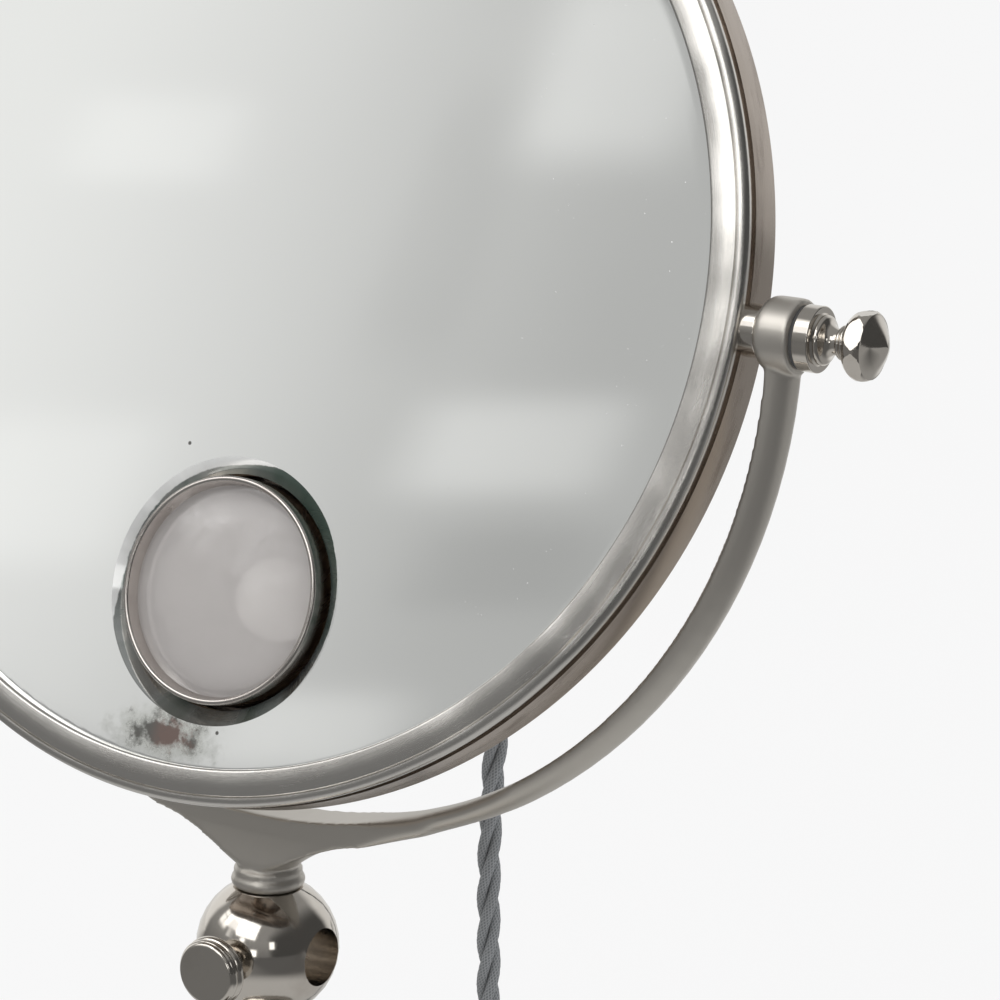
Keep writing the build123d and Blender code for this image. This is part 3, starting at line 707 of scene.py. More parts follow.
@dataclass(frozen=True)
class Room:
    """A pale studio: white to the camera, and walls, windows and a wall panel to the metal."""

    floor_size: float = 14.0
    panel_size: float = 0.46
    panel_azimuth: float = -36.3
    panel_elevation: float = 17.9
    panel_away: float = 2.0
    lamp_size: float = 1.6
    lamp_power: float = 9.0
    lamp_at: Point = (-1.3, -1.6, 2.2)
    lamp_aim: Point = (0.0, 0.0, 0.4)

    def light(self) -> None:
        """Makes the world and one broad soft lamp."""
        world = bpy.data.worlds.new("room")
        bpy.context.scene.world = world
        world.use_nodes = True
        graph = Graph(world.node_tree)
        ray = graph.out(graph.node("ShaderNodeTexCoord"), "Generated")
        _, _, height = graph.split(ray)
        grey = graph.smooth(height, -0.1, 0.4, 0.20, 0.32)
        for window in WINDOWS:
            grey = window.lay(graph, ray, grey)
        light = graph.node("ShaderNodeLightPath")
        mirrored = graph.out(light, "Is Glossy Ray")
        walls = graph.join(grey, grey, grey * 0.985)
        room = graph.node("ShaderNodeBackground", {}, {"Color": walls, "Strength": 1.0})
        plain = graph.node("ShaderNodeBackground", {}, {"Color": (0.9, 0.9, 0.9), "Strength": 1.0})
        white = graph.node("ShaderNodeBackground", {}, {"Color": (0.985, 0.985, 0.985), "Strength": 1.0})
        inner = graph.node("ShaderNodeMixShader", {}, {0: mirrored, 1: graph.out(plain), 2: graph.out(room)})
        outer = graph.node("ShaderNodeMixShader", {}, {
            0: graph.out(light, "Is Camera Ray"), 1: graph.out(inner), 2: graph.out(white),
        })
        graph.node("ShaderNodeOutputWorld", {}, {"Surface": graph.out(outer)})
        data = bpy.data.lights.new("soft_lamp", "AREA")
        data.size = self.lamp_size
        data.energy = self.lamp_power
        lamp = bpy.data.objects.new("soft_lamp", data)
        bpy.context.scene.collection.objects.link(lamp)
        lamp.location = self.lamp_at
        lamp.rotation_euler = (Vector(self.lamp_aim) - lamp.location).to_track_quat("-Z", "Y").to_euler()

    def floor(self) -> bpy.types.Object:
        """Lays the pale floor, which keeps the object's shadow.

        Returns:
            The floor.
        """
        bpy.ops.mesh.primitive_plane_add(size=self.floor_size, location=(0, 0, -0.0002))
        floor = bpy.context.object
        floor.name = "floor"
        material, graph = empty_material("floor")
        matt = graph.node("ShaderNodeBsdfDiffuse", {}, {"Color": (0.86, 0.86, 0.86)})
        glow = graph.node("ShaderNodeEmission", {}, {"Color": (0.985, 0.985, 0.987), "Strength": 1.0})
        x, y, _ = graph.split(graph.place())
        far = graph.math("SQRT", x * x + y * y)
        beyond = graph.smooth(y, 0.0, 0.5, 0.13, 0.80) * graph.smooth(x, 0.08, 0.4, 1.0, 0.4)
        sheen = beyond + (0.50 - beyond) * graph.smooth(far, 0.24, 0.46, 1.0, 0.0)
        mirrored = graph.node("ShaderNodeEmission", {}, {"Color": graph.join(sheen, sheen, sheen * 0.98)})
        light = graph.node("ShaderNodeLightPath")
        camera, through = graph.out(light, "Is Camera Ray"), graph.out(light, "Is Transmission Ray")
        seen = graph.math("MAXIMUM", camera, through)
        white = graph.node("ShaderNodeMixShader", {}, {
            0: seen * 0.72, 1: graph.out(matt), 2: graph.out(glow),
        })
        mixed = graph.node("ShaderNodeMixShader", {}, {
            0: graph.out(light, "Is Glossy Ray") * 0.9, 1: graph.out(white), 2: graph.out(mirrored),
        })
        graph.node("ShaderNodeOutputMaterial", {}, {"Surface": graph.out(mixed)})
        floor.data.materials.append(material)
        return floor

    def panel(self) -> bpy.types.Object:
        """Stands a softly lit wall panel where the mirror looks, seen only in reflections.

        Returns:
            The panel.
        """
        away = bearing(self.panel_azimuth, self.panel_elevation)
        side = away.cross(Vector((0, 0, 1))).normalized()
        up = side.cross(away)
        bpy.ops.mesh.primitive_plane_add(size=self.panel_size)
        panel = bpy.context.object
        panel.name = "wall_panel"
        turn = Matrix((side, up, -away)).transposed().to_4x4()
        panel.matrix_world = Matrix.Translation(PIVOT + away * self.panel_away) @ turn
        material, graph = empty_material("wall_panel")
        here = graph.place()
        x, y, _ = graph.split(here)
        cloud = graph.noise(graph.vector("MULTIPLY", here, (14.0, 4.0, 1.0)), 1.0, 1.0, 0.4)
        grey = graph.smooth(x, -0.14, 0.12, 0.46, 0.85) + (cloud - 0.5) * 0.07
        for middle, size, level in PATCHES:
            leaning = y - middle[1] + (x - middle[0]) * 0.5
            near_x = graph.smooth(abs(x - middle[0]), size[0] * 0.6, size[0] * 1.3, 1.0, 0.0)
            near_y = graph.smooth(abs(leaning), size[1] * 0.6, size[1] * 1.3, 1.0, 0.0)
            grey = grey + near_x * near_y * level
        wall = graph.join(grey, grey, grey * 0.985)
        glow = graph.node("ShaderNodeEmission", {}, {"Color": wall, "Strength": 1.0})
        graph.node("ShaderNodeOutputMaterial", {}, {"Surface": graph.out(glow)})
        panel.data.materials.append(material)
        panel.visible_camera = False
        panel.visible_diffuse = False
        panel.visible_shadow = False
        return panel

    def make(self) -> None:
        """Builds the room."""
        bpy.context.scene.view_settings.view_transform = "Standard"
        self.light()
        self.floor()
        self.panel()


# Cord

@dataclass
class TwistedFlex:
    """Three cotton-braided cores twisted together, from the strain relief to the plug."""

    diameter: float = 0.0073
    lay: float = 0.041
    step: float = 0.0021
    sides: int = 12
    relief_end: float = 0.102
    coil_step: float = 0.0078
    coil_radius: float = 0.049
    coil_turns: float = 2.5
    coil_dip: float = 0.0016
    climb_turns: float = 0.5
    coil_points: int = 16
    plug_radius: float = 0.015
    hang_y: float = 0.106
    free_low: float = 0.13
    table_low: float = 0.03

    def __post_init__(self) -> None:
        """Works out the sizes that follow from the diameter."""
        self.low = self.diameter / 2 + 0.001
        self.strand = self.diameter / 2 / (1 + 2 / math.sqrt(3))
        self.reach = self.diameter / 2 - self.strand

    def upper_route(self) -> list[Point]:
        """From the strain relief down behind the fork."""
        place = lamp_place()
        first = [tuple(place @ Vector((0, self.relief_end + d, 0))) for d in (0.0, 0.016)]
        x = LAMP_X
        return first + [
            (x, 0.0976, 0.2958), (x, 0.1057, 0.2831), (x - 0.0003, 0.1089, 0.2685),
            (x - 0.0005, 0.1062, 0.2487), (x, 0.1050, 0.2200), (x + 0.0005, 0.1058, 0.1860),
            (x + 0.0002, 0.1050, 0.1500), (x, 0.1058, 0.1150),
        ]

    def lower_route(self) -> list[Point]:
        """Down to the table behind the base, and along it to the coil."""
        x, z = LAMP_X, self.low
        return [
            (x, 0.1058, 0.1150), (x - 0.00016, 0.10644, 0.0870), (x, 0.1065, z + 0.0403),
            (x, 0.1142, z + 0.0218), (x, 0.1283, z + 0.0077), (x, 0.1468, z), (x, 0.1668, z),
        ]

    def coil_point(self, turn: float) -> Point:
        """A place on the coil.

        Args:
            turn: Turns from the coil's start.

        Returns:
            The centre line's point.
        """
        least = self.coil_radius - self.coil_step * self.coil_turns
        climb = min(max((turn - self.coil_turns) / self.climb_turns, 0.0), 1.0)
        if turn <= self.coil_turns:
            radius = self.coil_radius - self.coil_step * turn
        elif climb < 1:
            radius = least - self.coil_dip * math.sin(math.pi * climb)
        else:
            radius = least + self.coil_step * (turn - self.coil_turns - self.climb_turns)
        angle = 2 * math.pi * turn
        start_x, start_y, low = self.lower_route()[-1]
        return (
            start_x - self.coil_radius + radius * math.cos(angle),
            start_y + self.diameter + radius * math.sin(angle),
            low + self.coil_step * (1 - math.cos(math.pi * climb)) / 2,
        )

    def tail_route(self) -> list[Point]:
        """From the coil down to the table, and to the plug."""
        x, y, z = self.coil_point(2 * self.coil_turns + self.climb_turns)
        y -= self.diameter
        table = self.diameter / 2
        return [
            (x, y - 0.012, z), (x - 0.0015, y - 0.025, z - 0.0034), (x - 0.006, y - 0.039, table + 0.0007),
            (x - 0.013, y - 0.053, table + 0.0014), (x - 0.0215, y - 0.066, table + 0.0056),
            (x - 0.0305, y - 0.078, self.plug_radius - 0.0001),
            (x - 0.039, y - 0.088, self.plug_radius + 0.0002),
        ]

    def line(self, name: str, points: Sequence[Point]) -> list[Vector]:
        """Reads points off a smooth spline through a route.

        Args:
            name: Name of the passing curve.
            points: The route.

        Returns:
            Evenly spaced points on the spline.
        """
        data = bpy.data.curves.new(name, "CURVE")
        data.dimensions = "3D"
        data.resolution_u = 16
        spline = data.splines.new("NURBS")
        spline.points.add(len(points) - 1)
        for spot, point in zip(spline.points, points):
            spot.co = (*point, 1.0)
        spline.order_u = 3
        spline.use_endpoint_u = True
        curve = bpy.data.objects.new(name, data)
        bpy.context.scene.collection.objects.link(curve)
        bpy.context.view_layer.update()
        mesh = bpy.data.meshes.new_from_object(curve.evaluated_get(bpy.context.evaluated_depsgraph_get()))
        along = [v.co.copy() for v in mesh.vertices]
        bpy.data.objects.remove(curve)
        bpy.data.curves.remove(data)
        bpy.data.meshes.remove(mesh)
        far = [0.0]
        for a, b in zip(along, along[1:]):
            far.append(far[-1] + (b - a).length)
        count = round(far[-1] / self.step)
        spaced, k = [], 0
        for i in range(count + 1):
            wanted = far[-1] * i / count
            while k < len(far) - 2 and far[k + 1] < wanted:
                k += 1
            share = (wanted - far[k]) / max(far[k + 1] - far[k], 1e-9)
            spaced.append(along[k].lerp(along[k + 1], share))
        return spaced

    def strands(
        self, name: str, line: list[Vector], across: Vector, far: float,
    ) -> tuple[bpy.types.Object, Vector, float]:
        """Winds the three cores round a line.

        Args:
            name: Name of the piece.
            line: The centre line.
            across: A direction square to the line at its start, from which the twist is counted.
            far: Length of cord before this piece, so that the twist runs on.

        Returns:
            The piece, and the direction and the length at its end.
        """
        verts: list[Vector] = []
        faces: list[tuple[int, ...]] = []
        coords: list[tuple[float, float]] = []
        frames = []
        side = across.copy()
        for i, point in enumerate(line):
            ahead = (line[min(i + 1, len(line) - 1)] - line[max(i - 1, 0)]).normalized()
            side = (side - ahead * side.dot(ahead)).normalized()
            run = far + i * (line[1] - line[0]).length
            frames.append((point, ahead, side.copy(), ahead.cross(side), run))
        for core in range(3):
            first = len(verts)
            for point, ahead, u, v, run in frames:
                turn = 2 * math.pi * (run / self.lay + core / 3)
                out = u * math.cos(turn) + v * math.sin(turn)
                round_it = v * math.cos(turn) - u * math.sin(turn)
                slant = (ahead * self.lay + round_it * 2 * math.pi * self.reach).normalized()
                flank = slant.cross(out)
                for k in range(self.sides):
                    a = 2 * math.pi * k / self.sides
                    outward = out * (self.reach + self.strand * math.cos(a))
                    verts.append(point + outward + flank * self.strand * math.sin(a))
            for i in range(len(line) - 1):
                for k in range(self.sides):
                    a, b = first + i * self.sides, first + (i + 1) * self.sides
                    n = (k + 1) % self.sides
                    faces.append((a + k, a + n, b + n, b + k))
                    low, high = frames[i][4], frames[i + 1][4]
                    u0, u1 = k / self.sides, (k + 1) / self.sides
                    coords += [(u0, low), (u1, low), (u1, high), (u0, high)]
            last = first + (len(line) - 1) * self.sides
            faces.append(tuple(first + k for k in reversed(range(self.sides))))
            faces.append(tuple(last + k for k in range(self.sides)))
            coords += [(0.0, 0.0)] * (2 * self.sides)
        mesh = bpy.data.meshes.new(name)
        mesh.from_pydata(verts, [], faces)
        layer = mesh.uv_layers.new(name="run")
        for loop, uv in zip(layer.data, coords):
            loop.uv = uv
        mesh.update()
        piece = bpy.data.objects.new(name, mesh)
        bpy.context.scene.collection.objects.link(piece)
        mesh.shade_smooth()
        return piece, frames[-1][2], frames[-1][4]

    def make(self) -> list[bpy.types.Object]:
        """Makes the hanging length, and the length that goes on to the coil and the plug.

        Returns:
            The two pieces.
        """
        braid = Braid()
        upper = self.line("flex_line", self.upper_route())
        across = Vector((1, 0, 0))
        hung, across, far = self.strands("flex_upper", upper, across, 0.0)
        count = round((2 * self.coil_turns + self.climb_turns) * self.coil_points)
        turns = [self.coil_point(k / self.coil_points) for k in range(count + 1)]
        lower = self.line("flex_line", [*self.lower_route(), *turns, *self.tail_route()])
        laid, _, _ = self.strands("flex_lower", lower, across, far)
        for piece in (hung, laid):
            braid.put_on(piece)
        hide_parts("cord_upper")
        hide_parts("cord_lower", "cord_coil", "cord_tail")
        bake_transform(hung)
        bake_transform(laid)
        carried = [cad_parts[name] for name in ("plug_body", "plug_pins", "cord_tie")]
        for piece, line, end, lay, on_it in (
            (hung, upper, "object", "hanging", []),
            (laid, lower, "plug", "coiled", carried),
        ):
            long = sum((b - a).length for a, b in zip(line, line[1:]))
            LOG.info("%s is %.3f m long", piece.name, long)
        return [hung, laid]


@dataclass(frozen=True)
class Braid(Finish):
    """Grey cotton braid, from each core's own coordinates."""

    name: str = "cotton_braid"
    light: Colour = (0.36, 0.37, 0.38)
    # Colour of the painted shade in the dips of the weave
    dark: Colour = (0.13, 0.14, 0.15)
    soiled: Colour = (0.27, 0.27, 0.26)
    carriers: float = 10.0
    pick: float = 0.0016

    def dress(self, graph: Graph) -> dict[str, Value]:
        """Two sets of slanting yarns that pass over and under each other, with painted shade in the dips
        between them.
        """
        run = graph.out(graph.node("ShaderNodeUVMap", {"uv_map": "run"}))
        u, v, _ = graph.split(run)
        rise = v / self.pick
        left = graph.math("PINGPONG", u * self.carriers + rise, 0.5) * 2.0
        right = graph.math("PINGPONG", u * self.carriers - rise, 0.5) * 2.0
        height = graph.math("MAXIMUM", left, right)
        fuzz = graph.noise(graph.join(u * 60.0, v * 9000.0, 0.0), 1.0, 2.0, 0.6)
        soil = graph.noise(graph.place(), 60.0, 3.0, 0.6)
        # Painted shade: low parts of the weave go towards the dark colour; the fuzz adds random tone
        painted_shade_and_fuzz = graph.smooth(height, 0.35, 1.0) * 0.75 + fuzz * 0.25
        yarn = graph.mix(graph.smooth(soil, 0.4, 0.7) * 0.4, self.light, self.soiled)
        return {
            "Base Color": graph.mix(painted_shade_and_fuzz, self.dark, yarn),
            "Roughness": 0.85,
            "Normal": graph.bump(height + fuzz * 0.4, 0.00012),
        }


# Finishes of single pieces

POLISHED = Polished()
BRUSHED = Brushed()
DRUM = Brushed("drum_nickel", (0.44, 0.38, 0.33), (0.20, 0.15, 0.12), 0.16, 0.00001, 0.7)
THROAT = Polished("throat_nickel", (0.64, 0.60, 0.57), (0.42, 0.36, 0.32), 0.16, 0.5)
TARNISHED = Polished("tarnished_nickel", (0.50, 0.47, 0.44), (0.20, 0.17, 0.15), 0.06, 0.14)
PACKING = Plain("packing", (0.03, 0.03, 0.03), (0.015, 0.015, 0.015), 0.0, 0.6)
BOARD = Plain("fibre_board", (0.36, 0.27, 0.18), (0.25, 0.18, 0.12), 0.0, 0.75)
STEEL = Plain("plain_steel", (0.55, 0.54, 0.52), (0.38, 0.36, 0.34), 1.0, 0.25)
IRON = Plain("cast_iron", (0.09, 0.09, 0.09), (0.05, 0.05, 0.05), 0.4, 0.6)
BRASS = Plain("brass", (0.72, 0.52, 0.24), (0.55, 0.37, 0.16), 1.0, 0.2)
BLACK = Plain("black_moulding", (0.02, 0.02, 0.02), (0.012, 0.012, 0.012), 0.0, 0.12, 400.0, 0.000004)
RUBBER = Plain("black_rubber", (0.03, 0.03, 0.03), (0.018, 0.018, 0.018), 0.0, 0.55)
FELT = Plain("green_felt", (0.05, 0.11, 0.07), (0.025, 0.06, 0.035), 0.0, 0.8, 1800.0, 0.0003)
BRIGHT = Plain("bright_reflector", (0.88, 0.88, 0.88), (0.78, 0.78, 0.78), 1.0, 0.08)
FROST = Plain("frosted_bulb", (0.86, 0.85, 0.82), (0.80, 0.79, 0.76), 0.0, 0.3)


@dataclass(frozen=True)
class MilkGlass(Finish):
    """Glossy milky glass over an unlit lamp."""

    name: str = "milk_glass"
    colour: Colour = (0.72, 0.67, 0.655)

    def dress(self, graph: Graph) -> dict[str, Value]:
        """Milky body with slow streaks."""
        streak = graph.noise(graph.place(lamp_place()), 40.0, 3.0, 0.5)
        return {
            "Base Color": graph.mix(graph.smooth(streak, 0.3, 0.8) * 0.5, self.colour, (0.78, 0.74, 0.725)),
            "Roughness": 0.5,
            "Coat Weight": 1.0,
            "Coat Roughness": 0.015,
            "Coat IOR": 1.7,
        }


SPECKS = ((-0.0130, -0.0511, 0.0004), (0.0140, -0.1254, 0.0004))


@dataclass(frozen=True)
class Silvered(Finish):
    """Silvered glass with a stain under the porthole and specks of dust."""

    name: str = "silvered_glass"
    silver: Colour = (0.93, 0.94, 0.93)

    def dress(self, graph: Graph) -> dict[str, Value]:
        """Silver with a haze of dust, then the stain where it has come away, and two specks."""
        here = graph.place(head_place())
        x, _, z = graph.split(here)
        cloud = graph.noise(here, 190.0, 6.0, 0.68)
        fine = graph.noise(here, 700.0, 3.0, 0.6)
        across = (x + 0.002) / 0.0155
        upward = (z + 0.1285) / 0.0068
        near = 1.0 - graph.math("SQRT", across * across + upward * upward)
        lost = graph.smooth(near + (cloud - 0.5) * 2.4 + (fine - 0.5) * 0.5, 0.12, 0.72)
        halo = graph.smooth(near + (cloud - 0.5) * 1.6, -0.35, 0.5)
        middle = graph.smooth(abs(x - 0.001), 0.004, 0.009, 1.0, 0.0)
        rust = graph.smooth(near * 0.5 + fine, 0.62, 0.8) * middle
        dust = graph.smooth(graph.noise(here, 1100.0, 2.0, 0.5), 0.74, 0.78)
        haze = graph.smooth(x, 0.03, 0.12) * dust * 0.45
        tint = graph.mix(halo * 0.35, self.silver, (0.60, 0.62, 0.52))
        tint = graph.mix(lost * 0.9, tint, graph.mix(rust, (0.028, 0.025, 0.02), (0.085, 0.032, 0.02)))
        speck = 0.0
        for spot_x, spot_z, size in SPECKS:
            far = graph.math("SQRT", (x - spot_x) * (x - spot_x) + (z - spot_z) * (z - spot_z))
            speck = graph.smooth(far, size, size * 1.6, 1.0, 0.0) + speck
        return {
            "Base Color": graph.mix(speck * 0.85, tint, (0.05, 0.045, 0.04)),
            "Metallic": 1.0 - lost * 0.8,
            "Roughness": graph.noise(here, 30.0, 3.0, 0.5) * 0.03 + 0.03 + haze + halo * 0.10 + lost * 0.25,
        }


@dataclass(frozen=True)
class CutGlass(Finish):
    """The porthole's bevel: dark green glass with what is left of its silver."""

    name: str = "cut_glass"
    glass: Colour = (0.05, 0.085, 0.07)
    silver: Colour = (0.62, 0.64, 0.63)
    mud: Colour = (0.09, 0.075, 0.06)
    # White of the chipped outer edge, also used for the painted reflections up on the left and on the right
    edge: Colour = (0.92, 0.93, 0.92)

    def dress(self, graph: Graph) -> dict[str, Value]:
        """Silver in slow patches round the edge, bare green glass up on the right, dirt low down, and painted
        reflections.
        """
        here = graph.place(lamp_place())
        x, _, z = graph.split(here)
        slow = graph.rings(here, 2.2, 40.0)
        patchy = graph.noise(slow, 1.0, 3.0, 0.55)
        bare = graph.smooth(x * 20.0 + z * 22.0 + patchy, 0.75, 1.6)
        left = graph.smooth(patchy, 0.36, 0.62) * (1.0 - bare)
        low = graph.smooth(z + patchy * 0.012, -0.020, -0.034)
        chips = graph.noise(here, 420.0, 3.0, 0.6) * 0.0008
        from_axis = graph.math("SQRT", x * x + z * z) + chips
        # Painted reflection: the white edge is widened into crescents up on the left and on the right; the
        # chips alone give white flecks all round
        painted_reflection_upper_left = graph.smooth(z - x * 1.1, 0.018, 0.040) * 0.0024
        right = graph.smooth(x - abs(z + 0.008) * 0.25, 0.018, 0.034) * 0.0013
        white = graph.smooth(from_axis + painted_reflection_upper_left + right, 0.0364, 0.0368)
        bevel = graph.mix(low * 0.7, graph.mix(left, self.glass, self.silver), self.mud)
        return {
            "Base Color": graph.mix(white, bevel, self.edge),
            "Metallic": (left * 0.75 + 0.2) * (1.0 - white * 0.7),
            "Roughness": 0.09,
            "Coat Weight": 1.0,
            "Coat Roughness": 0.03,
        }


# Sub-assemblies

@dataclass
class Head:
    """Bezel, drum and glass of the round mirror, in millimetres."""

    radius: float = 145.6
    sight: float = 135.6
    glass_radius: float = 141.8
    front: float = -9.2
    seat: float = -6.6
    glass_back: float = -1.6
    sag: float = 3.0
    port: float = 36.0
    bore: float = 31.6
    bevel: float = 3.2
    wall_front: float = -5.1
    groove_back: float = -3.2
    wall_back: float = 8.4
    spokes: int = 144
    rows: int = 44

    def hollow(self, x: float, y: float) -> float:
        """Depth of the glass's front at a place in metres."""
        r = min(math.hypot(x, y) / MM, self.sight)
        curve = (self.sight ** 2 + self.sag ** 2) / (2 * self.sag)
        return (self.seat + self.sag - curve + math.sqrt(curve ** 2 - r ** 2)) * MM

    def bezel(self) -> bpy.types.Object:
        """Spins the band with its lip, fine line and rolled edge."""
        band = 142.6
        return turned("bezel", outline(
            (self.sight, self.seat), (self.sight, self.front + 1.0),
            ((self.sight + 0.3, self.front + 0.3), (self.sight + 1.0, self.front)),
            ((139.3, self.front - 0.15), (band, self.front + 0.5)),
            (band + 0.3, self.front + 1.0), (band + 0.6, self.front + 0.5),
            ((145.05, self.front + 1.15), (self.radius, self.front + 2.6)),
            (self.radius - 0.3, self.wall_front), (self.radius - 1.7, self.wall_front),
            (self.radius - 1.7, self.groove_back + 0.4), (142.3, self.groove_back + 0.4), (142.3, self.seat),
        ), head_place() @ Facing.BACK.value, ring=True, steps=256, sharp=24)

    def drum(self) -> bpy.types.Object:
        """Spins the side wall with its groove and turned-in flange."""
        inner = self.radius - 1.7
        return turned("drum", outline(
            (inner, self.wall_front), (self.radius - 0.9, self.wall_front),
            (self.radius - 0.9, self.groove_back), (self.radius, self.groove_back),
            (self.radius, self.wall_back - 0.8),
            ((self.radius - 0.25, self.wall_back - 0.25), (self.radius - 0.8, self.wall_back)),
            (138.5, self.wall_back), (138.5, self.wall_back - 1.2), (inner, self.wall_back - 1.2),
        ), head_place() @ Facing.BACK.value, ring=True, steps=256)

    def glass(self) -> bpy.types.Object:
        """Bridges rings from the rim to the porthole's bevel and back, then hollows the front."""
        middle = (LAMP_X, -LAMP_Z)
        at_port = self.hollow(*middle) / MM
        rings = (
            ((0.0, 0.0), self.glass_radius, self.seat), (middle, self.port, at_port),
            (middle, self.bore, at_port + self.bevel), (middle, self.bore, self.glass_back),
            ((0.0, 0.0), self.glass_radius, self.glass_back),
        )
        piece = start_piece("mirror", bpy.ops.mesh.primitive_plane_add, size=MM)
        bpy.ops.object.mode_set(mode="EDIT")
        whole_mesh()
        bpy.ops.mesh.delete(type="VERT")
        for (x, y), radius, depth in rings:
            bpy.ops.mesh.primitive_circle_add(
                vertices=self.spokes, radius=radius * MM, fill_type="NOTHING", location=(x, y, depth * MM))
        for k in range(len(rings)):
            self.bridge(piece, k, (k + 1) % len(rings), self.rows if k == 0 else 0)
        whole_mesh()
        bpy.ops.mesh.normals_make_consistent(inside=False)
        bpy.ops.object.mode_set(mode="OBJECT")
        front = (self.seat + self.sag + 0.4) * MM
        for vertex in piece.data.vertices:
            x, y, depth = vertex.co
            if depth < front and math.hypot(x - middle[0], y - middle[1]) > (self.port - 0.01) * MM:
                vertex.co.z = self.hollow(x, y)
        return settle(piece, head_place() @ Facing.BACK.value, 20)

    def bridge(self, piece: bpy.types.Object, first: int, second: int, cuts: int) -> None:
        """Bridges two of the rings.

        Args:
            piece: The piece that is edited.
            first: Number of one ring.
            second: Number of the other.
            cuts: Rows of cuts between them.
        """
        bpy.ops.mesh.select_mode(type="EDGE")
        select_where(piece, "edges", lambda edge: (
            {vertex.index // self.spokes for vertex in edge.verts} in ({first}, {second})
        ))
        bpy.ops.mesh.bridge_edge_loops(number_cuts=cuts, interpolation="LINEAR", smoothness=0.0)

    def make(self) -> None:
        """Makes the head's pieces."""
        stands_for(self.bezel(), "head", BRUSHED, "bezel_ring", slot="dull_nickel")
        stands_for(self.drum(), "head", DRUM, "drum_shell", slot="tarnished_nickel")
        mirror = stands_for(self.glass(), "head", Silvered(), "mirror_glass", slot="mirror_glass")
        mirror.data.materials.append(CutGlass().make())
        lamp = lamp_place().inverted()
        for face in mirror.data.polygons:
            x, depth, z = lamp @ face.center
            if math.hypot(x, z) < self.port * MM:
                face.material_index = 1


@dataclass
class Lamp:
    """Lens, its ring and the housing behind the porthole, in millimetres."""

    seat: float = -4.2
    radius: float = 28.6
    rise: float = 7.5
    sleeve: float = -0.5

    def ring(self) -> bpy.types.Object:
        """Spins the rounded lip, the throat and the sleeve."""
        return turned("lens_bezel", outline(
            (28.2, self.seat), (28.9, -7.4), ((29.7, -8.0), (30.5, -7.4)), (30.5, -4.6), (29.25, -4.6),
            (29.25, self.sleeve), (self.radius + 0.05, self.sleeve), (self.radius + 0.05, self.seat),
        ), lamp_place() @ Facing.BACK.value, ring=True, steps=160, sharp=40)

    def dome(self) -> bpy.types.Object:
        """Spins the domed lens with its thick rim."""
        edge = self.radius - 0.5
        curve = (edge ** 2 + self.rise ** 2) / (2 * self.rise)
        halfway = self.seat - self.rise + curve - math.sqrt(curve ** 2 - edge ** 2 / 4)
        return turned("lens", outline(
            (0, self.seat - self.rise), ((edge / 2, halfway), (edge, self.seat)),
            (self.radius, self.seat), (self.radius, self.sleeve), (26.4, self.sleeve),
            (26.4, self.seat + 1.6), (18.0, self.seat - 2.2), (0, self.seat - self.rise + 2.4),
        ), lamp_place() @ Facing.BACK.value, steps=160, sharp=40)

    def make(self) -> None:
        """Makes the lens and smooths the housing."""
        stands_for(self.ring(), "head", THROAT, "lens_ring", slot="bright_nickel")
        stands_for(self.dome(), "head", MilkGlass(), "lens_dome", slot="milk_glass")
        stands_for(copied("lamp_housing", "housing"), "head", DRUM, "lamp_housing", slot="tarnished_nickel")
        stands_for(copied("housing_cap", "housing_end"), "head", DRUM, "housing_cap", slot="tarnished_nickel")
        stands_for(copied("back_cover", "cover"), "head", DRUM, "back_cover", slot="tarnished_nickel")


class Side(Enum):
    """The two pivots."""

    RIGHT = Facing.RIGHT
    LEFT = Facing.LEFT


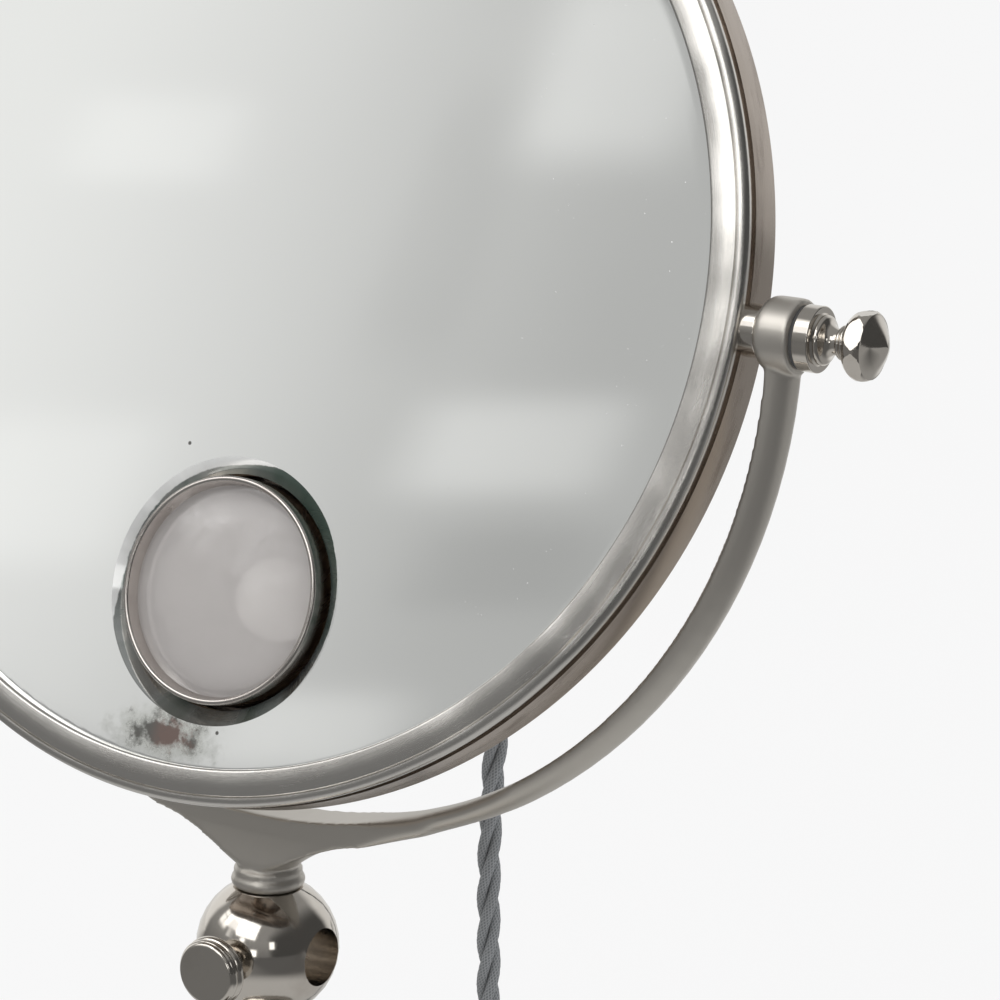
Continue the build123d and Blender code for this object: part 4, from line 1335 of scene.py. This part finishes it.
@dataclass
class Pivot:
    """Boss, stud and clamp knob on one side, in millimetres along the pivot axis."""

    side: Side
    wall: float = 144.6
    boss: float = 6.8
    boss_end: float = 149.7
    knob: float = 161.05
    front: float = 179.6
    tip: float = 183.4
    flat: float = 8.15
    neck: float = 173.4
    flats: int = 6

    def axis(self) -> Matrix:
        """Frame of the pivot, along its own Z."""
        return Matrix.Translation(PIVOT) @ self.side.value.value

    def stud(self) -> bpy.types.Object:
        """Spins the boss with its pin and threaded end."""
        word = self.side.name.lower()
        return turned(f"stud_{word}", outline(
            (0, 142.6), (2.6, 142.6), (2.6, self.wall), (self.boss, self.wall),
            (self.boss, self.boss_end - 0.6),
            ((self.boss - 0.15, self.boss_end - 0.15), (self.boss - 0.6, self.boss_end)),
            (3.5, self.boss_end), (3.5, self.knob + 0.4), (2.5, self.knob + 0.8), (2.5, 172.0), (0, 172.0),
        ), self.axis(), steps=72)

    def grip(self) -> bpy.types.Object:
        """Spins the knob and bisects its head to flats."""
        word = self.side.name.lower()
        piece = turned(f"grip_{word}", outline(
            (3.55, self.knob), (8.1, self.knob), ((8.32, self.knob + 0.08), (8.4, self.knob + 0.3)),
            (8.4, 164.9), ((8.3, 165.2), (8.0, 165.3)), (6.7, 165.3), (6.3, 165.8),
            ((6.25, 166.6), (5.6, 167.2)),
            ((4.0, 168.2), (3.35, 170.4)), (3.7, 170.9), ((4.4, 171.4), (3.9, 172.0)), (4.9, 172.4),
            ((5.3, 172.8), (5.1, 173.2)), ((7.9, 174.7), (9.0, 177.0)), ((8.95, 178.5), (8.2, self.front)),
            (7.7, self.front + 0.1), ((4.2, self.front + 2.3), (0.5, self.tip)), (0, self.tip),
        ), Matrix.Identity(4), steps=120)
        bpy.context.view_layer.objects.active = piece
        bpy.ops.object.mode_set(mode="EDIT")
        bpy.ops.mesh.select_mode(type="FACE")
        for k in range(self.flats):
            angle = math.radians(360 / self.flats * k)
            out = Vector((math.cos(angle), math.sin(angle), 0))
            select_where(piece, "faces", lambda face: (
                face.calc_center_median().z > self.neck * MM
                and face.calc_center_median().dot(out) > 0.5 * self.flat * MM
            ))
            bpy.ops.mesh.bisect(
                plane_co=out * self.flat * MM, plane_no=out, use_fill=True,
                clear_outer=True, clear_inner=False,
            )
        bpy.ops.object.mode_set(mode="OBJECT")
        return settle(piece, self.axis(), 24)

    def make(self) -> None:
        """Makes the boss and the knob."""
        word = self.side.name.lower()
        stands_for(self.stud(), "head", POLISHED, f"trunnion_{word}", slot="bright_nickel")
        stands_for(self.grip(), f"knob_{word}", POLISHED, f"knob_{word}", slot="bright_nickel")


@dataclass
class Fork:
    """The cast yoke: the CAD form with its edges softened as a casting's are."""

    voxel: float = 0.00065
    passes: int = 6
    web_in: float = 0.034
    web_out: float = 0.082
    web_drop: float = 0.120
    stages: int = 10
    inset: float = 0.0016
    blending: int = 7

    def make(self) -> None:
        """Remeshes a copy finely, relaxes it, and softens the ends of the web in narrowing stages."""
        piece = copied("yoke", "fork")
        remesh = piece.modifiers.new("cast", "REMESH")
        remesh.mode = "VOXEL"
        remesh.voxel_size = self.voxel
        relax = piece.modifiers.new("soft", "SMOOTH")
        relax.factor = 0.5
        relax.iterations = self.passes
        for name in ("cast", "soft"):
            bpy.ops.object.modifier_apply(modifier=name)
        bpy.ops.object.mode_set(mode="EDIT")
        bpy.ops.mesh.select_mode(type="VERT")
        for stage in range(self.stages):
            near = self.web_in + stage * self.inset
            far = self.web_out - stage * self.inset
            select_where(piece, "verts", lambda vertex: (
                near < abs(vertex.co.x) < far and vertex.co.z < PIVOT.z - self.web_drop
            ))
            bpy.ops.mesh.vertices_smooth(factor=0.5, repeat=self.blending)
        bpy.ops.object.mode_set(mode="OBJECT")
        bpy.ops.object.shade_smooth()
        stands_for(piece, "yoke", TARNISHED, "yoke", slot="tarnished_nickel")


@dataclass
class Clamp:
    """Ball with its cross bore, and the thumbscrew in its front, in millimetres."""

    radius: float = 20.0
    top: float = 17.4
    bore: float = 8.15
    neck: float = 8.6

    def ball(self) -> bpy.types.Object:
        """Spins the ball and its foot, then bores it."""
        flat = math.sqrt(self.radius ** 2 - self.top ** 2)
        foot = math.sqrt(self.radius ** 2 - self.neck ** 2)
        place = Matrix.Translation(BALL)
        piece = turned("ball", outline(
            (0, self.top), (flat, self.top), ((self.radius, 0), (self.neck, -foot)), (self.neck, -20.8),
            (9.5, -21.2), ((10.3, -22.6), (9.5, -BALL_FOOT)), (0, -BALL_FOOT),
        ), place, steps=144)
        cutter = start_piece(
            "borer", bpy.ops.mesh.primitive_cylinder_add, vertices=96, radius=self.bore * MM, depth=0.06,
            location=BALL, rotation=(0, math.pi / 2, 0))
        cut(piece, cutter)
        return settle(piece, Matrix.Identity(4), 30)

    def screw(self) -> bpy.types.Object:
        """Spins the thumbscrew."""
        return turned("ball_screw", outline(
            (0, 8.8), (2.2, 8.8), (2.95, 9.5), (2.95, 20.4), (4.2, 20.6), ((3.7, 22.3), (4.8, 24.3)),
            (8.8, 24.3), ((9.6, 24.9), (9.65, 26.4)), (9.1, 26.8), (9.1, 27.1), ((9.5, 27.9), (9.0, 28.8)),
            ((8.5, 29.5), (7.5, 29.7)), (0, 29.7),
        ), Matrix.Translation(BALL) @ Facing.FRONT.value, steps=96, sharp=40)

    def make(self) -> None:
        """Makes the ball and its screw."""
        stands_for(self.ball(), "stand", POLISHED, "ball_clamp", slot="bright_nickel")
        stands_for(self.screw(), "thumbscrew", POLISHED, "thumbscrew", slot="bright_nickel")


@dataclass
class Stand:
    """Round base, post and the turned rings at its ends, in millimetres."""

    base: float = 95.0
    top: float = 34.0
    post: float = 8.0
    shell: float = 1.6

    def cover(self) -> bpy.types.Object:
        """Spins the base's cover."""
        r, t = self.base, self.shell
        return turned("base_cover", outline(
            (r - t, t), (r - 0.6, t), ((r, 5.2), (r - 0.8, 8.4)), (r - 3.4, 9.4), (r - 3.4, 11.2),
            ((r - 5.0, 14.4), (r - 9.0, 15.4)), ((52.0, 20.4), (28.0, self.top)), (7.0, self.top),
            (7.0, self.top - t), (26.8, self.top - t), ((51.6, 18.8), (r - 9.2, 13.8)),
            ((r - 6.2, 13.0), (r - 5.0, 11.0)), (r - 5.0, 8.2), (r - t, 7.4),
        ), Matrix.Identity(4), ring=True, steps=192)

    def foot(self) -> bpy.types.Object:
        """Spins the foot of the post."""
        return turned("post_foot", outline(
            (5.5, self.top), (22.0, self.top), ((23.2, 35.8), (22.0, 37.6)), (19.5, 38.2),
            ((13.4, 41.6), (11.6, 48.0)), (12.2, 48.6), ((13.2, 50.1), (12.0, 51.6)), (10.4, 52.0),
            (self.post, 52.0), (self.post, 40.0), (5.5, 40.0),
        ), Matrix.Identity(4), ring=True, steps=96)

    def neck(self) -> bpy.types.Object:
        """Spins the ring between the post and the ball."""
        top = BALL.z / MM - BALL_FOOT
        low = top - 10.0
        return turned("post_head", outline(
            (4.3, top - 8.0), (6.0, top - 8.0), (6.0, low), (9.4, low),
            ((11.2, low + 1.6), (10.0, low + 3.4)), (9.2, low + 4.0), ((8.4, low + 6.4), (9.2, low + 8.6)),
            (9.8, low + 9.2), (9.8, top), (4.3, top),
        ), Matrix.Identity(4), ring=True, steps=96)

    def make(self) -> None:
        """Makes the stand's bright pieces."""
        stands_for(self.cover(), "stand", POLISHED, "base_shell", slot="bright_nickel")
        stands_for(self.foot(), "stand", POLISHED, "foot_ring", slot="bright_nickel")
        stands_for(self.neck(), "stand", POLISHED, "head_ring", slot="bright_nickel")
        stands_for(copied("post", "stem"), "stand", POLISHED, "post", slot="bright_nickel")


CAD_FINISHES: dict[Finish, tuple[str, ...]] = {
    PACKING: ("glass_packing", "pivot_washer_left", "pivot_washer_right"),
    BOARD: ("backing_board",),
    STEEL: (
        "cover_screws", "housing_screws", "swivel_spigot", "grub_screw", "tie_rod", "base_plate", "base_nut",
    ),
    IRON: ("base_weight",),
    BRASS: ("bulb_cap", "pivot_bush_left", "pivot_bush_right", "plug_pins"),
    BLACK: ("lampholder", "plug_body", "cord_tie"),
    RUBBER: ("strain_relief",),
    FELT: ("felt_pad",),
    BRIGHT: ("reflector",),
    FROST: ("bulb_glass",),
}


def main() -> None:
    """Builds everything in order."""
    logging.basicConfig(level=logging.INFO, format="%(name)s: %(message)s")
    Viewpoint().make()
    Room().make()
    TwistedFlex().make()
    Head().make()
    Lamp().make()
    Pivot(Side.RIGHT).make()
    Pivot(Side.LEFT).make()
    Fork().make()
    Clamp().make()
    Stand().make()
    for finish, nodes in CAD_FINISHES.items():
        finish.put_on(*(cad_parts[name] for name in nodes))


if __name__ == "__main__":
    main()
